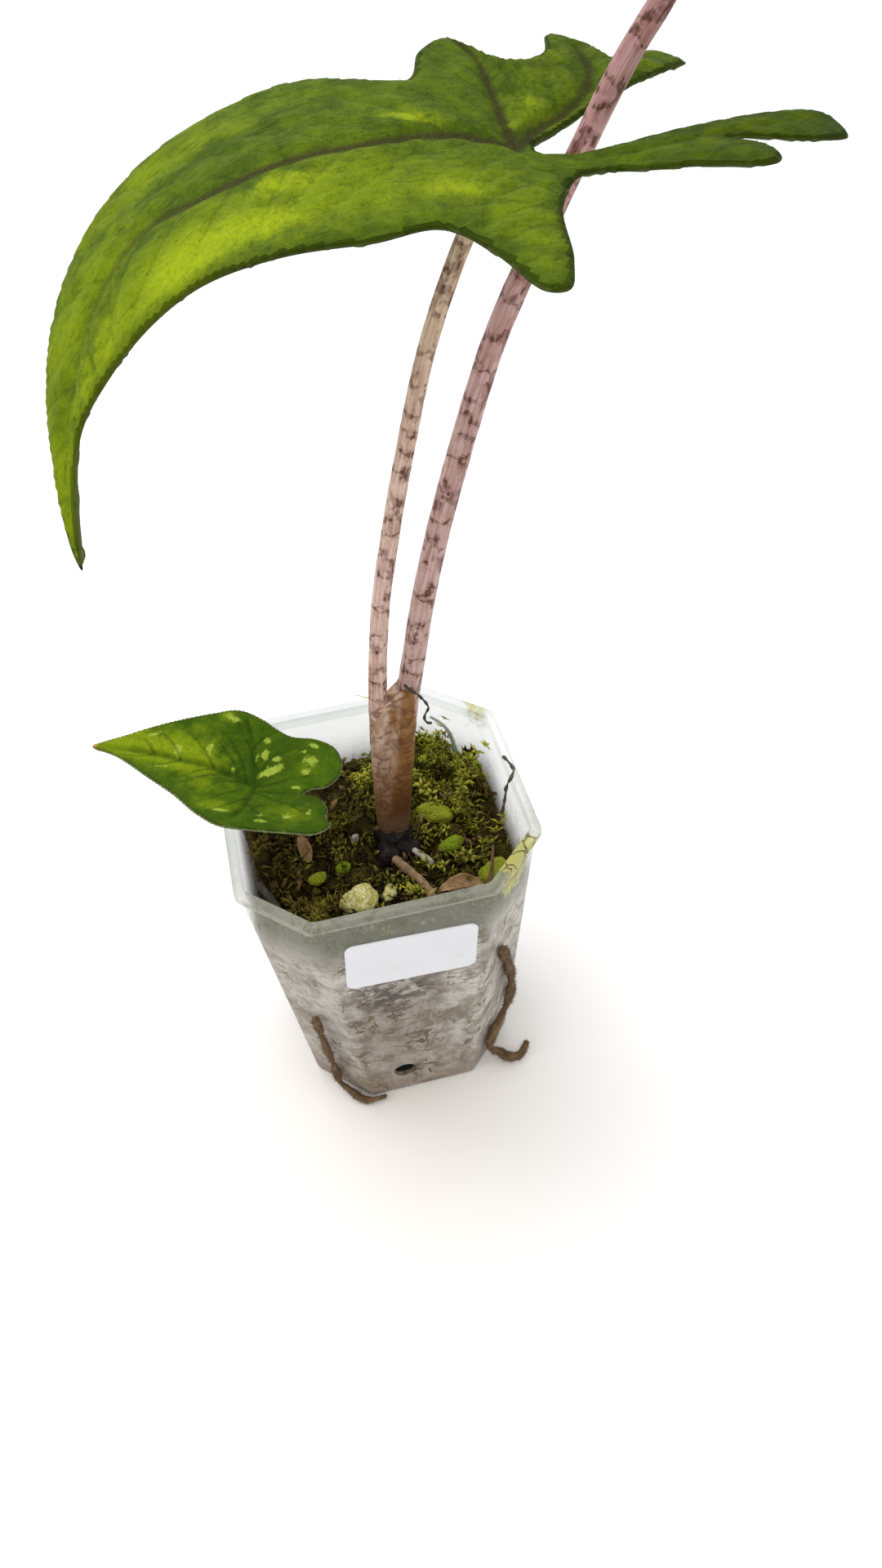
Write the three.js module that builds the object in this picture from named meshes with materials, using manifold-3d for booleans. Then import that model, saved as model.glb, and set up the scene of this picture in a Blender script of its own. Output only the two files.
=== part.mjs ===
// Potted variegated jacklyn alocasia: a young aroid in a small clear square nursery pot.
//
// Millimetres, +Z up. The origin is the middle of the pot's foot, on the table.
// The pot's flat sides face X and Y, and the plain label is on the side that faces -Y.
// The large leaf hangs to the left (-X), the small leaf reaches left over the rim,
// and the tall petiole leans right (+X) to the second large leaf.

import * as THREE from 'three';
import { mergeVertices } from 'three/addons/utils/BufferGeometryUtils.js';
import { TessellateModifier } from 'three/addons/modifiers/TessellateModifier.js';
import Module from 'manifold-3d';

const wasm = await Module();
wasm.setup();

// Sizes that drive the part

const GAP = 0.3;                       // clearance that touching pieces keep

const POT_HEIGHT = 60.3;
const POT_FOOT = 37.8;                 // across the flats at the table
const POT_BODY = 48.9;                 // across the flats at the top, without the rim band
const POT_RIM = 50.0;                  // across the flats of the rim band
const POT_WALL = 0.9;
const POT_FLOOR = 1.2;
const RIM_BAND = 2.0;                  // height of the rim band
const FOOT_CHAMFER = 9.0;              // leg of the cut corners
const RIM_CHAMFER = 10.1;
const DRAIN_RADIUS = 2.1;
const DRAIN_HEIGHT = 7.5;
const DRAIN_OFFSET = -3.0;

const LABEL = { width: 21.8, height: 12.3, corner: 1.6, thick: 0.3, x: 0.5, z: 46.0, turn: -3.4 };

const MOSS_LEVEL = 49.6;               // average height of the moss surface
const LEAF_THICK = 0.8;
const SMALL_LEAF_THICK = 0.7;

// Petiole centrelines, from the rhizome up, with the radius at the foot and at the leaf

const LEFT_PETIOLE = {
  foot: 1.6,
  top: 0.95,
  path: [
    [2.1, 1.2, 51.2], [2.1, -0.9, 67.3], [2.4, -2.8, 79.4], [3.1, -4.5, 91], [4.6, -6.5, 104.5],
    [6.6, -8.2, 115.6], [8.6, -9.7, 125.4], [12.8, -12.2, 142.3], [18.3, -14.2, 155.6],
    [21.4, -14.8, 159.6],
  ],
};

const RIGHT_PETIOLE = {
  foot: 2.0,
  top: 1.1,
  path: [
    [3.9, 1.4, 51], [5.3, -0.3, 65.7], [6.9, -1.9, 79.2], [8.6, -3.1, 89.4], [10.8, -4.6, 101.8],
    [13.3, -5.9, 112.8], [15.9, -7.1, 122.6], [21.2, -9.1, 139.6], [27.3, -10.7, 152.8],
    [33.9, -12.3, 166], [37.6, -13, 171.7], [43.2, -13, 180], [49, -12.2, 187.5],
  ],
};

const SMALL_PETIOLE = {
  foot: 0.95,
  top: 0.7,
  path: [[-8.4, 9.2, 46.5], [-9.4, 8.8, 51.5], [-12.6, 7.2, 57.5], [-16, 3.8, 62.6], [-17.7, 1.2, 65.7]],
};

// Leaves. Each blade is a flat outline that is bent over its midrib.
// Outline points are [along the midrib from the petiole, out to the side]: left side first.
// Bend rows are [along, heading, climb of the midrib, climb of the left half, of the right half],
// in millimetres and degrees. Heading 0 looks along +X.

const LARGE_OUTLINE = [
  [73, -0.6], [65, -0.8], [58, -1.4], [51, -4.8], [41, -9.8], [32, -14.6], [20, -17.2], [12, -17.2],
  [8.5, -22.5], [6, -30], [4.4, -30.6], [2.6, -26], [0, -14.5], [-4.5, -7.6], [-10, -12.6],
  [-15.5, -19.2], [-19.5, -14], [-18.5, -8.8], [-24, -14], [-29, -14.5], [-32.8, -7], [-22, -3.5],
  [-11.5, -1.4], [-2.6, -0.8],
  [-2.5, 1.5], [-8, 5], [-14, 7], [-19.5, 9], [-33, 15.5], [-32, 20], [-23.5, 17], [-23, 21.5],
  [-19.5, 24.5], [-15.5, 20], [-12, 19], [-6.5, 21], [1, 26.6], [5, 23], [8.5, 15], [19, 18],
  [26.5, 17], [34.5, 16], [43, 14], [51, 11], [57, 7.6], [63, 3.9],
];

const LARGE_BEND = [
  [-35, 198, 3, -6, 0], [-12, 195, -3, 5, 13], [0, 182, 13, -3, 10], [20, 184, -2, -11, 5],
  [40, 199, -35, -2, -2], [60, 215, -65, 8, -11], [78, 229, -87, 12, -10],
];

const TOP_BEND = [
  [-42, 64, -12, -6, -6], [-13, 62, -4, -3, -2], [0, 60, 12, -6, -5], [22, 58, 0, -9, -9],
  [45, 57, -18, -8, -8], [67, 55, -34, -4, -4], [88, 52, -45, 0, 0],
];

const TOP_LEAF_SCALE = 1.1;            // the second large leaf is this much bigger

const SMALL_OUTLINE = [
  [31.5, -0.5], [25.5, -1.2], [18, -3.5], [11.5, -6], [6, -9.5], [2, -11.5], [-2.5, -11.5], [-8, -11],
  [-12, -10.6], [-13.7, -8.2], [-12.6, -6.2], [-12.4, -4], [-10.2, -1.1], [-7.6, -0.3],
  [-8.8, 0.8], [-11, 1.5], [-12.6, 4], [-12.6, 7], [-10.5, 10.5], [-7, 11.5], [-2.5, 11],
  [4, 13], [8.7, 13.3], [13, 11.5], [20.5, 7.5], [26.5, 3.5],
];

const SMALL_BEND = [[-14, 160, -2, 10, -2], [0, 154, 2, 13, 12], [14, 144, 2, 9, 21], [32, 138, -3, 1, 20]];

// What lies on the moss: name, middle, half sizes, turn about Z in degrees

const GRAINS = [
  ['grain_front', [-5.8, -13.2, 50.6], [3.3, 2.2, 2.3], 10],
  ['grain_right_back', [10.8, 2.6, 50.6], [2.9, 2.1, 1.9], -35],
  ['grain_right', [11.7, -5.1, 50.0], [2.2, 1.5, 1.4], 20],
  ['grain_left', [-7.1, -5.0, 50.0], [1.2, 1.1, 1.1], 0],
  ['grain_far_left', [-11.7, -6.2, 50.0], [1.8, 1.0, 1.0], 15],
  ['grain_corner', [17.4, -13.6, 50.0], [3.0, 2.5, 2.2], 30],
  ['grain_small', [-0.6, -12.6, 50.0], [1.5, 1.1, 1.1], 60],
  ['grain_pale', [-3.9, 1.2, 49.9], [0.9, 0.7, 0.9], 40],
];

const CLUMPS = [
  ['moss_clump_back', [12.4, 17.4, 50.6], [4.6, 3.0, 3.0], -20],
  ['moss_clump_side', [18.4, 10.2, 50.2], [2.8, 4.2, 3.0], 10],
  ['moss_clump_front', [-14.6, -13.4, 49.4], [3.2, 2.2, 2.2], 40],
];

const DEAD_LEAVES = [
  ['dead_leaf_front', [11.0, -15.4, 50.7], [3.6, 1.5, 0.9], -6],
  ['dead_leaf_left', [-12.8, 0.2, 50.4], [1.3, 2.4, 0.8], 15],
];

const RHIZOME = [
  [[3.0, 1.0, 48.6], [3.6, 3.0, 2.9], 0],
  [[1.0, -2.6, 48.2], [2.6, 2.4, 2.3], 20],
  [[4.6, -2.4, 48.4], [2.5, 2.2, 2.2], -30],
];

// Small loose pieces, each a round bar: name, radius, path

const BARS = [
  ['old_stalk', 0.75, [[1.9, -6.0, 50.3], [3.5, -9.8, 51.1], [5.2, -13.2, 51.2], [6.2, -16.2, 50.6]]],
  ['white_stub', 0.6, [[5.3, -4.9, 50.5], [6.5, -7.1, 50.9], [7.4, -8.9, 50.8]]],
  ['twig', 0.35, [[15.2, -17.0, 50.7], [16.6, -14.4, 53.6], [17.6, -11.6, 55.0]]],
  ['bark_stick', 0.6, [[-21.4, -5.2, 50.7], [-20.2, -8.4, 51.2], [-18.8, -11.4, 50.9]]],
];

// Colours

const COLOUR = {
  pot: 0xd9dcd8, label: 0xf3f3f6, moss: 0x4a4a1c, rhizome: 0x2a1d1e, petiole: 0xb79a92,
  leaf: 0x4f7a12, smallLeaf: 0x5a8f16, grain: 0xb9bf7a, clump: 0x6f7f2a, stalk: 0x8c6a4c,
  dead: 0xa07a4e, white: 0xd8d2c8, twig: 0x6a4a2c, root: 0x7a5a38, darkRoot: 0x3a2c22,
  tendril: 0x8f9a86, thread: 0x1c1714,
};

// Small helpers

const radians = THREE.MathUtils.degToRad;

function material(colour, roughness = 0.7) {
  return new THREE.MeshStandardMaterial({ color: colour, roughness, metalness: 0 });
}

function named(name, geometry, colour, roughness) {
  const mesh = new THREE.Mesh(geometry, material(colour, roughness));
  mesh.name = name;
  return mesh;
}

function bare(geometry) {
  const copy = geometry.clone();
  copy.deleteAttribute('normal');
  copy.deleteAttribute('uv');
  return mergeVertices(copy, 1e-4);
}

function solid(geometry) {
  const merged = bare(geometry);
  return new wasm.Manifold(new wasm.Mesh({
    numProp: 3,
    vertProperties: new Float32Array(merged.attributes.position.array),
    triVerts: new Uint32Array(merged.index.array),
  }));
}

function fromSolid(body) {
  const mesh = body.getMesh();
  const geometry = new THREE.BufferGeometry();
  geometry.setAttribute('position', new THREE.BufferAttribute(mesh.vertProperties, 3));
  geometry.setIndex(new THREE.BufferAttribute(mesh.triVerts, 1));
  return geometry;
}

function largestBody(body) {
  const bodies = body.decompose();
  bodies.sort((a, b) => b.volume() - a.volume());
  return bodies[0];
}

// A closed skin over rings that all have the same number of points, first and last ring capped
function loft(rings) {
  const count = rings[0].length;
  const positions = rings.flat(2);
  const index = [];
  for (let ring = 0; ring + 1 < rings.length; ring += 1) {
    for (let i = 0; i < count; i += 1) {
      const a = ring * count + i;
      const b = ring * count + (i + 1) % count;
      index.push(a, b, b + count, a, b + count, a + count);
    }
  }
  for (const ring of [0, rings.length - 1]) {
    const centre = positions.length / 3;
    const middle = [0, 1, 2].map((axis) => rings[ring].reduce((sum, p) => sum + p[axis], 0) / count);
    positions.push(...middle);
    for (let i = 0; i < count; i += 1) {
      const a = ring * count + i;
      const b = ring * count + (i + 1) % count;
      if (ring === 0) index.push(centre, b, a);
      else index.push(centre, a, b);
    }
  }
  const geometry = new THREE.BufferGeometry();
  geometry.setAttribute('position', new THREE.Float32BufferAttribute(positions, 3));
  geometry.setIndex(index);
  return geometry;
}

// The pot's octagon at a height: across is the width over the flats, inset moves every side in
function octagon(across, chamfer, z, inset = 0, perSide = 1) {
  const half = across / 2 - inset;
  const leg = chamfer - inset * (2 - Math.SQRT2);
  const a = half - leg;
  const corners = [[-a, -half], [a, -half], [half, -a], [half, a], [a, half], [-a, half], [-half, a], [-half, -a]];
  const ring = [];
  corners.forEach(([x, y], i) => {
    const [nextX, nextY] = corners[(i + 1) % 8];
    for (let step = 0; step < perSide; step += 1) {
      const t = step / perSide;
      ring.push([x + (nextX - x) * t, y + (nextY - y) * t, z]);
    }
  });
  return ring;
}

const acrossAt = (z) => POT_FOOT + (POT_BODY - POT_FOOT) * z / POT_HEIGHT;
const chamferAt = (z) => FOOT_CHAMFER + (RIM_CHAMFER - FOOT_CHAMFER) * z / POT_HEIGHT;

// A point just outside a wall: the way that wall faces in degrees, along it, up, and clear of it
function onWall(facing, along, z, clear) {
  const half = acrossAt(z) / 2;
  const chamfered = Math.round(facing / 45) % 2 !== 0;
  const away = (chamfered ? (2 * half - chamferAt(z)) / Math.SQRT2 : half) + clear;
  const c = Math.cos(radians(facing));
  const s = Math.sin(radians(facing));
  return [away * c - along * s, away * s + along * c, z];
}

// A row of numbers read smoothly at u from a table whose first column is u
function read(table, column, u) {
  const last = table.length - 1;
  const x = Math.min(Math.max(u, table[0][0]), table[last][0]);
  let i = 0;
  while (i < last - 1 && x >= table[i + 1][0]) i += 1;
  const slope = (k) => {
    const low = Math.max(k - 1, 0);
    const high = Math.min(k + 1, last);
    return (table[high][column] - table[low][column]) / (table[high][0] - table[low][0]);
  };
  const width = table[i + 1][0] - table[i][0];
  const t = (x - table[i][0]) / width;
  return (2 * t ** 3 - 3 * t ** 2 + 1) * table[i][column]
    + (t ** 3 - 2 * t ** 2 + t) * width * slope(i)
    + (3 * t ** 2 - 2 * t ** 3) * table[i + 1][column]
    + (t ** 3 - t ** 2) * width * slope(i + 1);
}

function vectors(points) {
  return points.map((p) => new THREE.Vector3(...p));
}

// A round stem along a path, thinner toward its end
function stem({ path, foot, top }, grow = 0, sides = 10, steps = 26) {
  const curve = new THREE.CatmullRomCurve3(vectors(path), false, 'centripetal');
  const frames = curve.computeFrenetFrames(steps, false);
  const rings = [];
  for (let i = 0; i <= steps; i += 1) {
    const centre = curve.getPointAt(i / steps);
    if (i === 0) centre.addScaledVector(frames.tangents[0], -grow);
    if (i === steps) centre.addScaledVector(frames.tangents[steps], grow);
    const radius = foot + (top - foot) * (i / steps) + grow;
    const ring = [];
    for (let k = 0; k < sides; k += 1) {
      const angle = 2 * Math.PI * k / sides;
      const p = centre.clone()
        .addScaledVector(frames.normals[i], radius * Math.cos(angle))
        .addScaledVector(frames.binormals[i], radius * Math.sin(angle));
      ring.push(p.toArray());
    }
    rings.push(ring);
  }
  return loft(rings);
}

// A round bar of one thickness along a path
function bar(radius, path, sides = 6, steps = 10) {
  const section = new THREE.Shape();
  for (let k = 0; k < sides; k += 1) {
    const angle = 2 * Math.PI * k / sides;
    const point = [radius * Math.cos(angle), radius * Math.sin(angle)];
    if (k === 0) section.moveTo(...point);
    else section.lineTo(...point);
  }
  section.closePath();
  const curve = new THREE.CatmullRomCurve3(vectors(path), false, 'centripetal');
  return bare(new THREE.ExtrudeGeometry(section, { steps, bevelEnabled: false, extrudePath: curve }));
}

// A rough pebble: a ball pushed in and out by slow waves
function lump(middle, half, turn, grow = 0, detail = 1) {
  const geometry = bare(new THREE.IcosahedronGeometry(1, detail));
  const position = geometry.attributes.position;
  for (let i = 0; i < position.count; i += 1) {
    const p = new THREE.Vector3().fromBufferAttribute(position, i);
    const wave = 1 + 0.07 * Math.sin(3 * p.x + middle[0]) + 0.07 * Math.sin(4 * p.y + middle[1]);
    p.multiplyScalar(wave);
    p.set(p.x * (half[0] + grow), p.y * (half[1] + grow), p.z * (half[2] + grow));
    p.applyAxisAngle(new THREE.Vector3(0, 0, 1), radians(turn));
    p.add(new THREE.Vector3(...middle));
    position.setXYZ(i, p.x, p.y, p.z);
  }
  return geometry;
}

// Leaves

// Midrib points and side directions of a bent blade, every half millimetre
function midrib(junction, bend) {
  const step = 0.5;
  const low = bend[0][0] - 4;
  const high = bend[bend.length - 1][0] + 4;
  const rows = [];
  for (let u = low; u <= high; u += step) {
    const heading = radians(read(bend, 1, u));
    const climb = radians(read(bend, 2, u));
    const along = new THREE.Vector3(
      Math.cos(heading) * Math.cos(climb), Math.sin(heading) * Math.cos(climb), Math.sin(climb));
    const side = new THREE.Vector3(Math.sin(heading), -Math.cos(heading), 0);
    const up = new THREE.Vector3().crossVectors(side, along);
    rows.push({ u, along, side, up, point: new THREE.Vector3() });
  }
  for (let i = 1; i < rows.length; i += 1) {
    rows[i].point.copy(rows[i - 1].point)
      .addScaledVector(rows[i - 1].along, step / 2)
      .addScaledVector(rows[i].along, step / 2);
  }
  const zero = rows.reduce((best, row) => (Math.abs(row.u) < Math.abs(best.u) ? row : best));
  const shift = new THREE.Vector3(...junction).sub(zero.point);
  rows.forEach((row) => row.point.add(shift));
  return { rows, low, step };
}

// Where a point of the flat blade goes when it is bent, w above its middle
function bent({ rows, low, step }, bend, u, v, w) {
  const place = Math.min(Math.max((u - low) / step, 0), rows.length - 1.001);
  const i = Math.floor(place);
  const t = place - i;
  const mix = (key) => rows[i][key].clone().lerp(rows[i + 1][key], t);
  const climb = radians(read(bend, v < 0 ? 3 : 4, u));
  const side = mix('side');
  const up = mix('up');
  return mix('point')
    .addScaledVector(side, v * Math.cos(climb) - Math.sign(v) * w * Math.sin(climb))
    .addScaledVector(up, Math.abs(v) * Math.sin(climb) + w * Math.cos(climb));
}

function blade({ outline, junction, bend, thick, cell = 6, grow = 0 }) {
  const flat = outline.map(([u, v]) => new THREE.Vector2(u, v));
  const closed = new THREE.CatmullRomCurve3(
    flat.map((p) => new THREE.Vector3(p.x, p.y, 0)), true, 'centripetal');
  const rim = closed.getPoints(outline.length * 2).slice(0, -1);
  const shape = new THREE.Shape(rim.map((p) => new THREE.Vector2(p.x, p.y)));
  const depth = thick + 2 * grow;
  const slab = new THREE.ExtrudeGeometry(shape, { depth, bevelEnabled: false });
  const loose = slab.index ? slab.toNonIndexed() : slab;
  const geometry = bare(new TessellateModifier(cell, 8).modify(loose));
  const spine = midrib(junction, bend);
  const position = geometry.attributes.position;
  for (let i = 0; i < position.count; i += 1) {
    const p = bent(spine, bend, position.getX(i), position.getY(i), position.getZ(i) - depth / 2);
    position.setXYZ(i, p.x, p.y, p.z);
  }
  geometry.setIndex(Array.from(geometry.index.array).reverse());
  return geometry;
}

// Pot

function potShell() {
  const under = POT_HEIGHT - RIM_BAND;
  const body = loft([
    octagon(POT_FOOT, FOOT_CHAMFER, 0),
    octagon(acrossAt(under), chamferAt(under), under),
    octagon(POT_RIM, RIM_CHAMFER, under + 0.2),
    octagon(POT_RIM, RIM_CHAMFER, POT_HEIGHT),
    octagon(POT_BODY, RIM_CHAMFER, POT_HEIGHT, POT_WALL),
    octagon(acrossAt(POT_FLOOR), chamferAt(POT_FLOOR), POT_FLOOR, POT_WALL),
  ]);
  let pot = solid(body);
  for (let side = 0; side < 4; side += 1) {
    const punch = new THREE.CylinderGeometry(DRAIN_RADIUS, DRAIN_RADIUS, 6, 16);
    punch.translate(DRAIN_OFFSET, 0, 0);
    punch.applyMatrix4(new THREE.Matrix4().makeTranslation(0, -acrossAt(DRAIN_HEIGHT) / 2, DRAIN_HEIGHT));
    punch.rotateZ(side * Math.PI / 2);
    pot = pot.subtract(solid(punch));
  }
  return fromSolid(pot);
}

function label() {
  const { width, height, corner, thick, x, z, turn } = LABEL;
  const w = width / 2;
  const h = height / 2;
  const shape = new THREE.Shape();
  shape.moveTo(-w + corner, -h);
  shape.lineTo(w - corner, -h);
  shape.absarc(w - corner, -h + corner, corner, -Math.PI / 2, 0, false);
  shape.absarc(w - corner, h - corner, corner, 0, Math.PI / 2, false);
  shape.absarc(-w + corner, h - corner, corner, Math.PI / 2, Math.PI, false);
  shape.absarc(-w + corner, -h + corner, corner, Math.PI, 1.5 * Math.PI, false);
  const geometry = new THREE.ExtrudeGeometry(shape, { depth: thick, bevelEnabled: false, curveSegments: 5 });
  const lean = Math.atan((POT_BODY - POT_FOOT) / 2 / POT_HEIGHT);
  geometry.rotateZ(radians(turn));
  geometry.rotateX(Math.PI / 2 + lean);
  geometry.translate(x, -acrossAt(z) / 2 - GAP, z);
  return bare(geometry);
}

// Moss and what sits in it

function mossHeight(x, y) {
  const mound = 1.3 * Math.cos(x / 9 + 0.4) + 1.1 * Math.cos(y / 8 - 0.7);
  const back = 2.2 * Math.exp(-((x - 13) ** 2 + (y - 16) ** 2) / 90);
  const well = -2.4 * Math.exp(-((x - 4) ** 2 + (y + 3) ** 2) / 45);
  return MOSS_LEVEL + mound * 0.7 + back + well + 0.35 * Math.sin(x * 1.3) * Math.sin(y * 1.1);
}

function mossBed() {
  const perSide = 3;
  const inset = POT_WALL + GAP;
  const floor = POT_FLOOR + GAP;
  const rings = [octagon(acrossAt(floor), chamferAt(floor), floor, inset, perSide)];
  const edge = MOSS_LEVEL - 1.5;
  const shoulder = octagon(acrossAt(edge), chamferAt(edge), edge, inset, perSide);
  rings.push(shoulder);
  for (const scale of [0.93, 0.72, 0.48, 0.24]) {
    rings.push(shoulder.map(([x, y]) => [x * scale, y * scale, mossHeight(x * scale, y * scale)]));
  }
  return loft(rings);
}

function rhizomeSolid(grow) {
  return RHIZOME
    .map(([middle, half, turn]) => solid(lump(middle, half, turn, grow)))
    .reduce((joined, one) => joined.add(one));
}

function lumpSet(rows, grow) {
  return rows.map(([name, middle, half, turn]) => [name, solid(lump(middle, half, turn, grow))]);
}

// Outside roots

const LEFT_ROOT = [
  onWall(225, 0.9, 28, 1.3), onWall(225, 0.7, 21, 1.35), onWall(225, 0.6, 13, 1.35), onWall(225, 0.6, 7, 1.35),
  [-15.3, -15.5, 2.2], [-13.9, -17.0, 1.2], [-11.1, -20.0, 1.1], [-7.4, -20.2, 1.1],
];

const RIGHT_ROOT = [
  onWall(315, -2.6, 38, 1.1), onWall(315, 1.3, 27, 1.2), onWall(315, 3.3, 19, 1.2), onWall(315, 2.6, 13.5, 1.2),
  onWall(315, -1.2, 10, 1.2), onWall(315, -2.6, 5, 1.2), [16.0, -17.2, 1.6], [17.6, -18.4, 1.15],
  [19.8, -18.4, 1.5], [21.3, -16.8, 2.6],
];

const INNER_ROOT = [
  [21.8, -1.9, 51.6], [22.3, -2.3, 56], [22.6, -2.9, 59.4], [23.3, -3.2, 61.3], [24.1, -1.5, 61.3],
  [23.7, 0.6, 61.2], [23.3, 2, 61.1],
];

const TENDRIL = [[17.8, 15, 51.8], [17.5, 14.6, 53.3], [17, 14.6, 56.3], [16.4, 14.6, 58.2], [15, 14.6, 60.5], [13.5, 14.6, 62.1]];

const FILAMENT = [
  [6.6, -5.2, 87.1], [7.6, -5.3, 85.8], [8.8, -5.1, 84.2], [10, -4.8, 81.4], [9.5, -4.6, 80.1], [9.3, -4.5, 79],
  [9.8, -4.3, 77.9], [10.4, -4.3, 77.7],
];

// Assembly

const plant = new THREE.Group();
plant.name = 'potted_variegated_jacklyn_alocasia';

plant.add(named('pot', potShell(), COLOUR.pot, 0.35));
plant.add(named('label', label(), COLOUR.label, 0.5));

const grains = lumpSet(GRAINS, 0);
const clumps = lumpSet(CLUMPS, 0);
const deadLeaves = lumpSet(DEAD_LEAVES, 0);
const rhizome = rhizomeSolid(0);
const leftStem = solid(stem(LEFT_PETIOLE));
const leftStemGrown = solid(stem(LEFT_PETIOLE, GAP));
const smallStem = solid(stem(SMALL_PETIOLE, 0, 8, 12));

// The moss is cut back round everything that is pressed into it
let moss = solid(mossBed());
const pressed = [
  ...lumpSet(GRAINS, GAP).map(([, body]) => body),
  ...lumpSet(CLUMPS, GAP).map(([, body]) => body),
  ...lumpSet(DEAD_LEAVES, GAP).map(([, body]) => body),
  rhizomeSolid(GAP),
  solid(stem(SMALL_PETIOLE, GAP, 8, 12)),
];
for (const body of pressed) moss = moss.subtract(body);
moss = largestBody(moss);
plant.add(named('moss_bed', fromSolid(moss), COLOUR.moss, 0.95));

plant.add(named('rhizome', fromSolid(rhizome), COLOUR.rhizome, 0.8));
for (const [name, body] of grains) plant.add(named(name, fromSolid(body), COLOUR.grain, 0.9));
for (const [name, body] of clumps) plant.add(named(name, fromSolid(body), COLOUR.clump, 0.95));
for (const [name, body] of deadLeaves) plant.add(named(name, fromSolid(body), COLOUR.dead, 0.9));

// The right petiole's foot is a sheath: it wraps the left petiole, and both stand on the rhizome
const rhizomeGrown = rhizomeSolid(GAP);
const left = largestBody(leftStem.subtract(rhizomeGrown));
const right = largestBody(solid(stem(RIGHT_PETIOLE)).subtract(leftStemGrown).subtract(rhizomeGrown));
plant.add(named('petiole_left', fromSolid(left), COLOUR.petiole, 0.6));
plant.add(named('petiole_right', fromSolid(right), COLOUR.petiole, 0.6));
plant.add(named('petiole_small', fromSolid(smallStem), COLOUR.petiole, 0.6));

plant.add(named('leaf_large', blade({
  outline: LARGE_OUTLINE, junction: [22.3, -14.8, 160.8], bend: LARGE_BEND, thick: LEAF_THICK,
}), COLOUR.leaf, 0.6));

plant.add(named('leaf_top', blade({
  outline: LARGE_OUTLINE.map(([u, v]) => [u * TOP_LEAF_SCALE, v * TOP_LEAF_SCALE]),
  junction: [50, -12, 189.4],
  bend: TOP_BEND,
  thick: LEAF_THICK,
}), COLOUR.leaf, 0.6));

plant.add(named('leaf_small', blade({
  outline: SMALL_OUTLINE, junction: [-18, 0.6, 67], bend: SMALL_BEND, thick: SMALL_LEAF_THICK, cell: 5,
}), COLOUR.smallLeaf, 0.55));

for (const [name, radius, path] of BARS) {
  const colour = { old_stalk: COLOUR.stalk, white_stub: COLOUR.white, twig: COLOUR.twig, bark_stick: COLOUR.twig }[name];
  plant.add(named(name, bar(radius, path), colour, 0.8));
}

plant.add(named('root_outside_left', bar(0.8, LEFT_ROOT, 6, 18), COLOUR.root, 0.9));
plant.add(named('root_outside_right', bar(0.85, RIGHT_ROOT, 6, 24), COLOUR.root, 0.9));
plant.add(named('root_inner_wall', bar(0.35, INNER_ROOT, 6, 12), COLOUR.darkRoot, 0.9));
plant.add(named('tendril', bar(0.35, TENDRIL, 6, 10), COLOUR.tendril, 0.7));
plant.add(named('filament', bar(0.25, FILAMENT, 5, 14), COLOUR.thread, 0.8));

export default plant;
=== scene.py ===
# %% [markdown]
# # A potted variegated alocasia, piece by piece
# The object is a young aroid in a small clear pot: three arrow-shaped leaves on mottled
# stalks, a bed of moss with mineral grains, and a few roots that have crept outside.
# The frame is a plain CAD model. Each cell below gives one piece its real surface, in
# metres, without changing any size of the frame.

import math

import bmesh
import bpy
import numpy as np
from mathutils import Matrix, Vector, noise
from mathutils.geometry import delaunay_2d_cdt


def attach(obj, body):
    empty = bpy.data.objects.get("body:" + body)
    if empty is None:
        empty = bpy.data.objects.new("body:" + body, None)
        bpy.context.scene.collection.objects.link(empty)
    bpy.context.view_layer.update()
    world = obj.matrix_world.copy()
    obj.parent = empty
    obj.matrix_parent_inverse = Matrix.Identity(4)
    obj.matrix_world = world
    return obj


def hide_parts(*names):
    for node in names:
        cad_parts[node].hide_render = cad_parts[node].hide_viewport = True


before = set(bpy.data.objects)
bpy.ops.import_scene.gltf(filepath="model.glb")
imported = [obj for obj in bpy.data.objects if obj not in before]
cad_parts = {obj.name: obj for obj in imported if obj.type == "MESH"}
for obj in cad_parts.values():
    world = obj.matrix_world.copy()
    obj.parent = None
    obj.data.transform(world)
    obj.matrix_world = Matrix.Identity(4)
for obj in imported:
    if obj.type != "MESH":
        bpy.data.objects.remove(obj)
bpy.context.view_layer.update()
MM = 0.001

# %% [markdown]
# The photograph looks down at about 45 degrees with a phone's normal lens. A camera made
# from three direction vectors repeats that view exactly, and needs no trial and error.

# %% Camera
YAW, PITCH, ROLL = -0.1764, 0.7813, -0.0848
EYE = Vector((-0.01288, -0.1385, 0.19935))


def aim_camera():
    ahead = Vector((-math.sin(YAW) * math.cos(PITCH), math.cos(YAW) * math.cos(PITCH), -math.sin(PITCH)))
    level = Vector((math.cos(YAW), math.sin(YAW), 0))
    above = level.cross(ahead)
    right = math.cos(ROLL) * level + math.sin(ROLL) * above
    up = -math.sin(ROLL) * level + math.cos(ROLL) * above
    data = bpy.data.cameras.new("plant_camera")
    data.lens, data.sensor_width, data.sensor_fit = 27.0, 36.0, "AUTO"
    data.clip_start, data.clip_end = 0.005, 20
    camera = bpy.data.objects.new("plant_camera", data)
    bpy.context.scene.collection.objects.link(camera)
    camera.matrix_world = Matrix.Translation(EYE) @ Matrix((right, up, -ahead)).transposed().to_4x4()
    bpy.context.scene.camera = camera
    return camera


camera = aim_camera()
print("camera", [round(v, 3) for v in camera.location])

# %% [markdown]
# Shader maths reads best as plain sums. A Signal wraps one socket, so 1 - mask or
# mask * 0.5 adds its own Math node. A Finish is one material, and its node() makes any
# other node from its type, its settings and what goes into its sockets.


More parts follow.
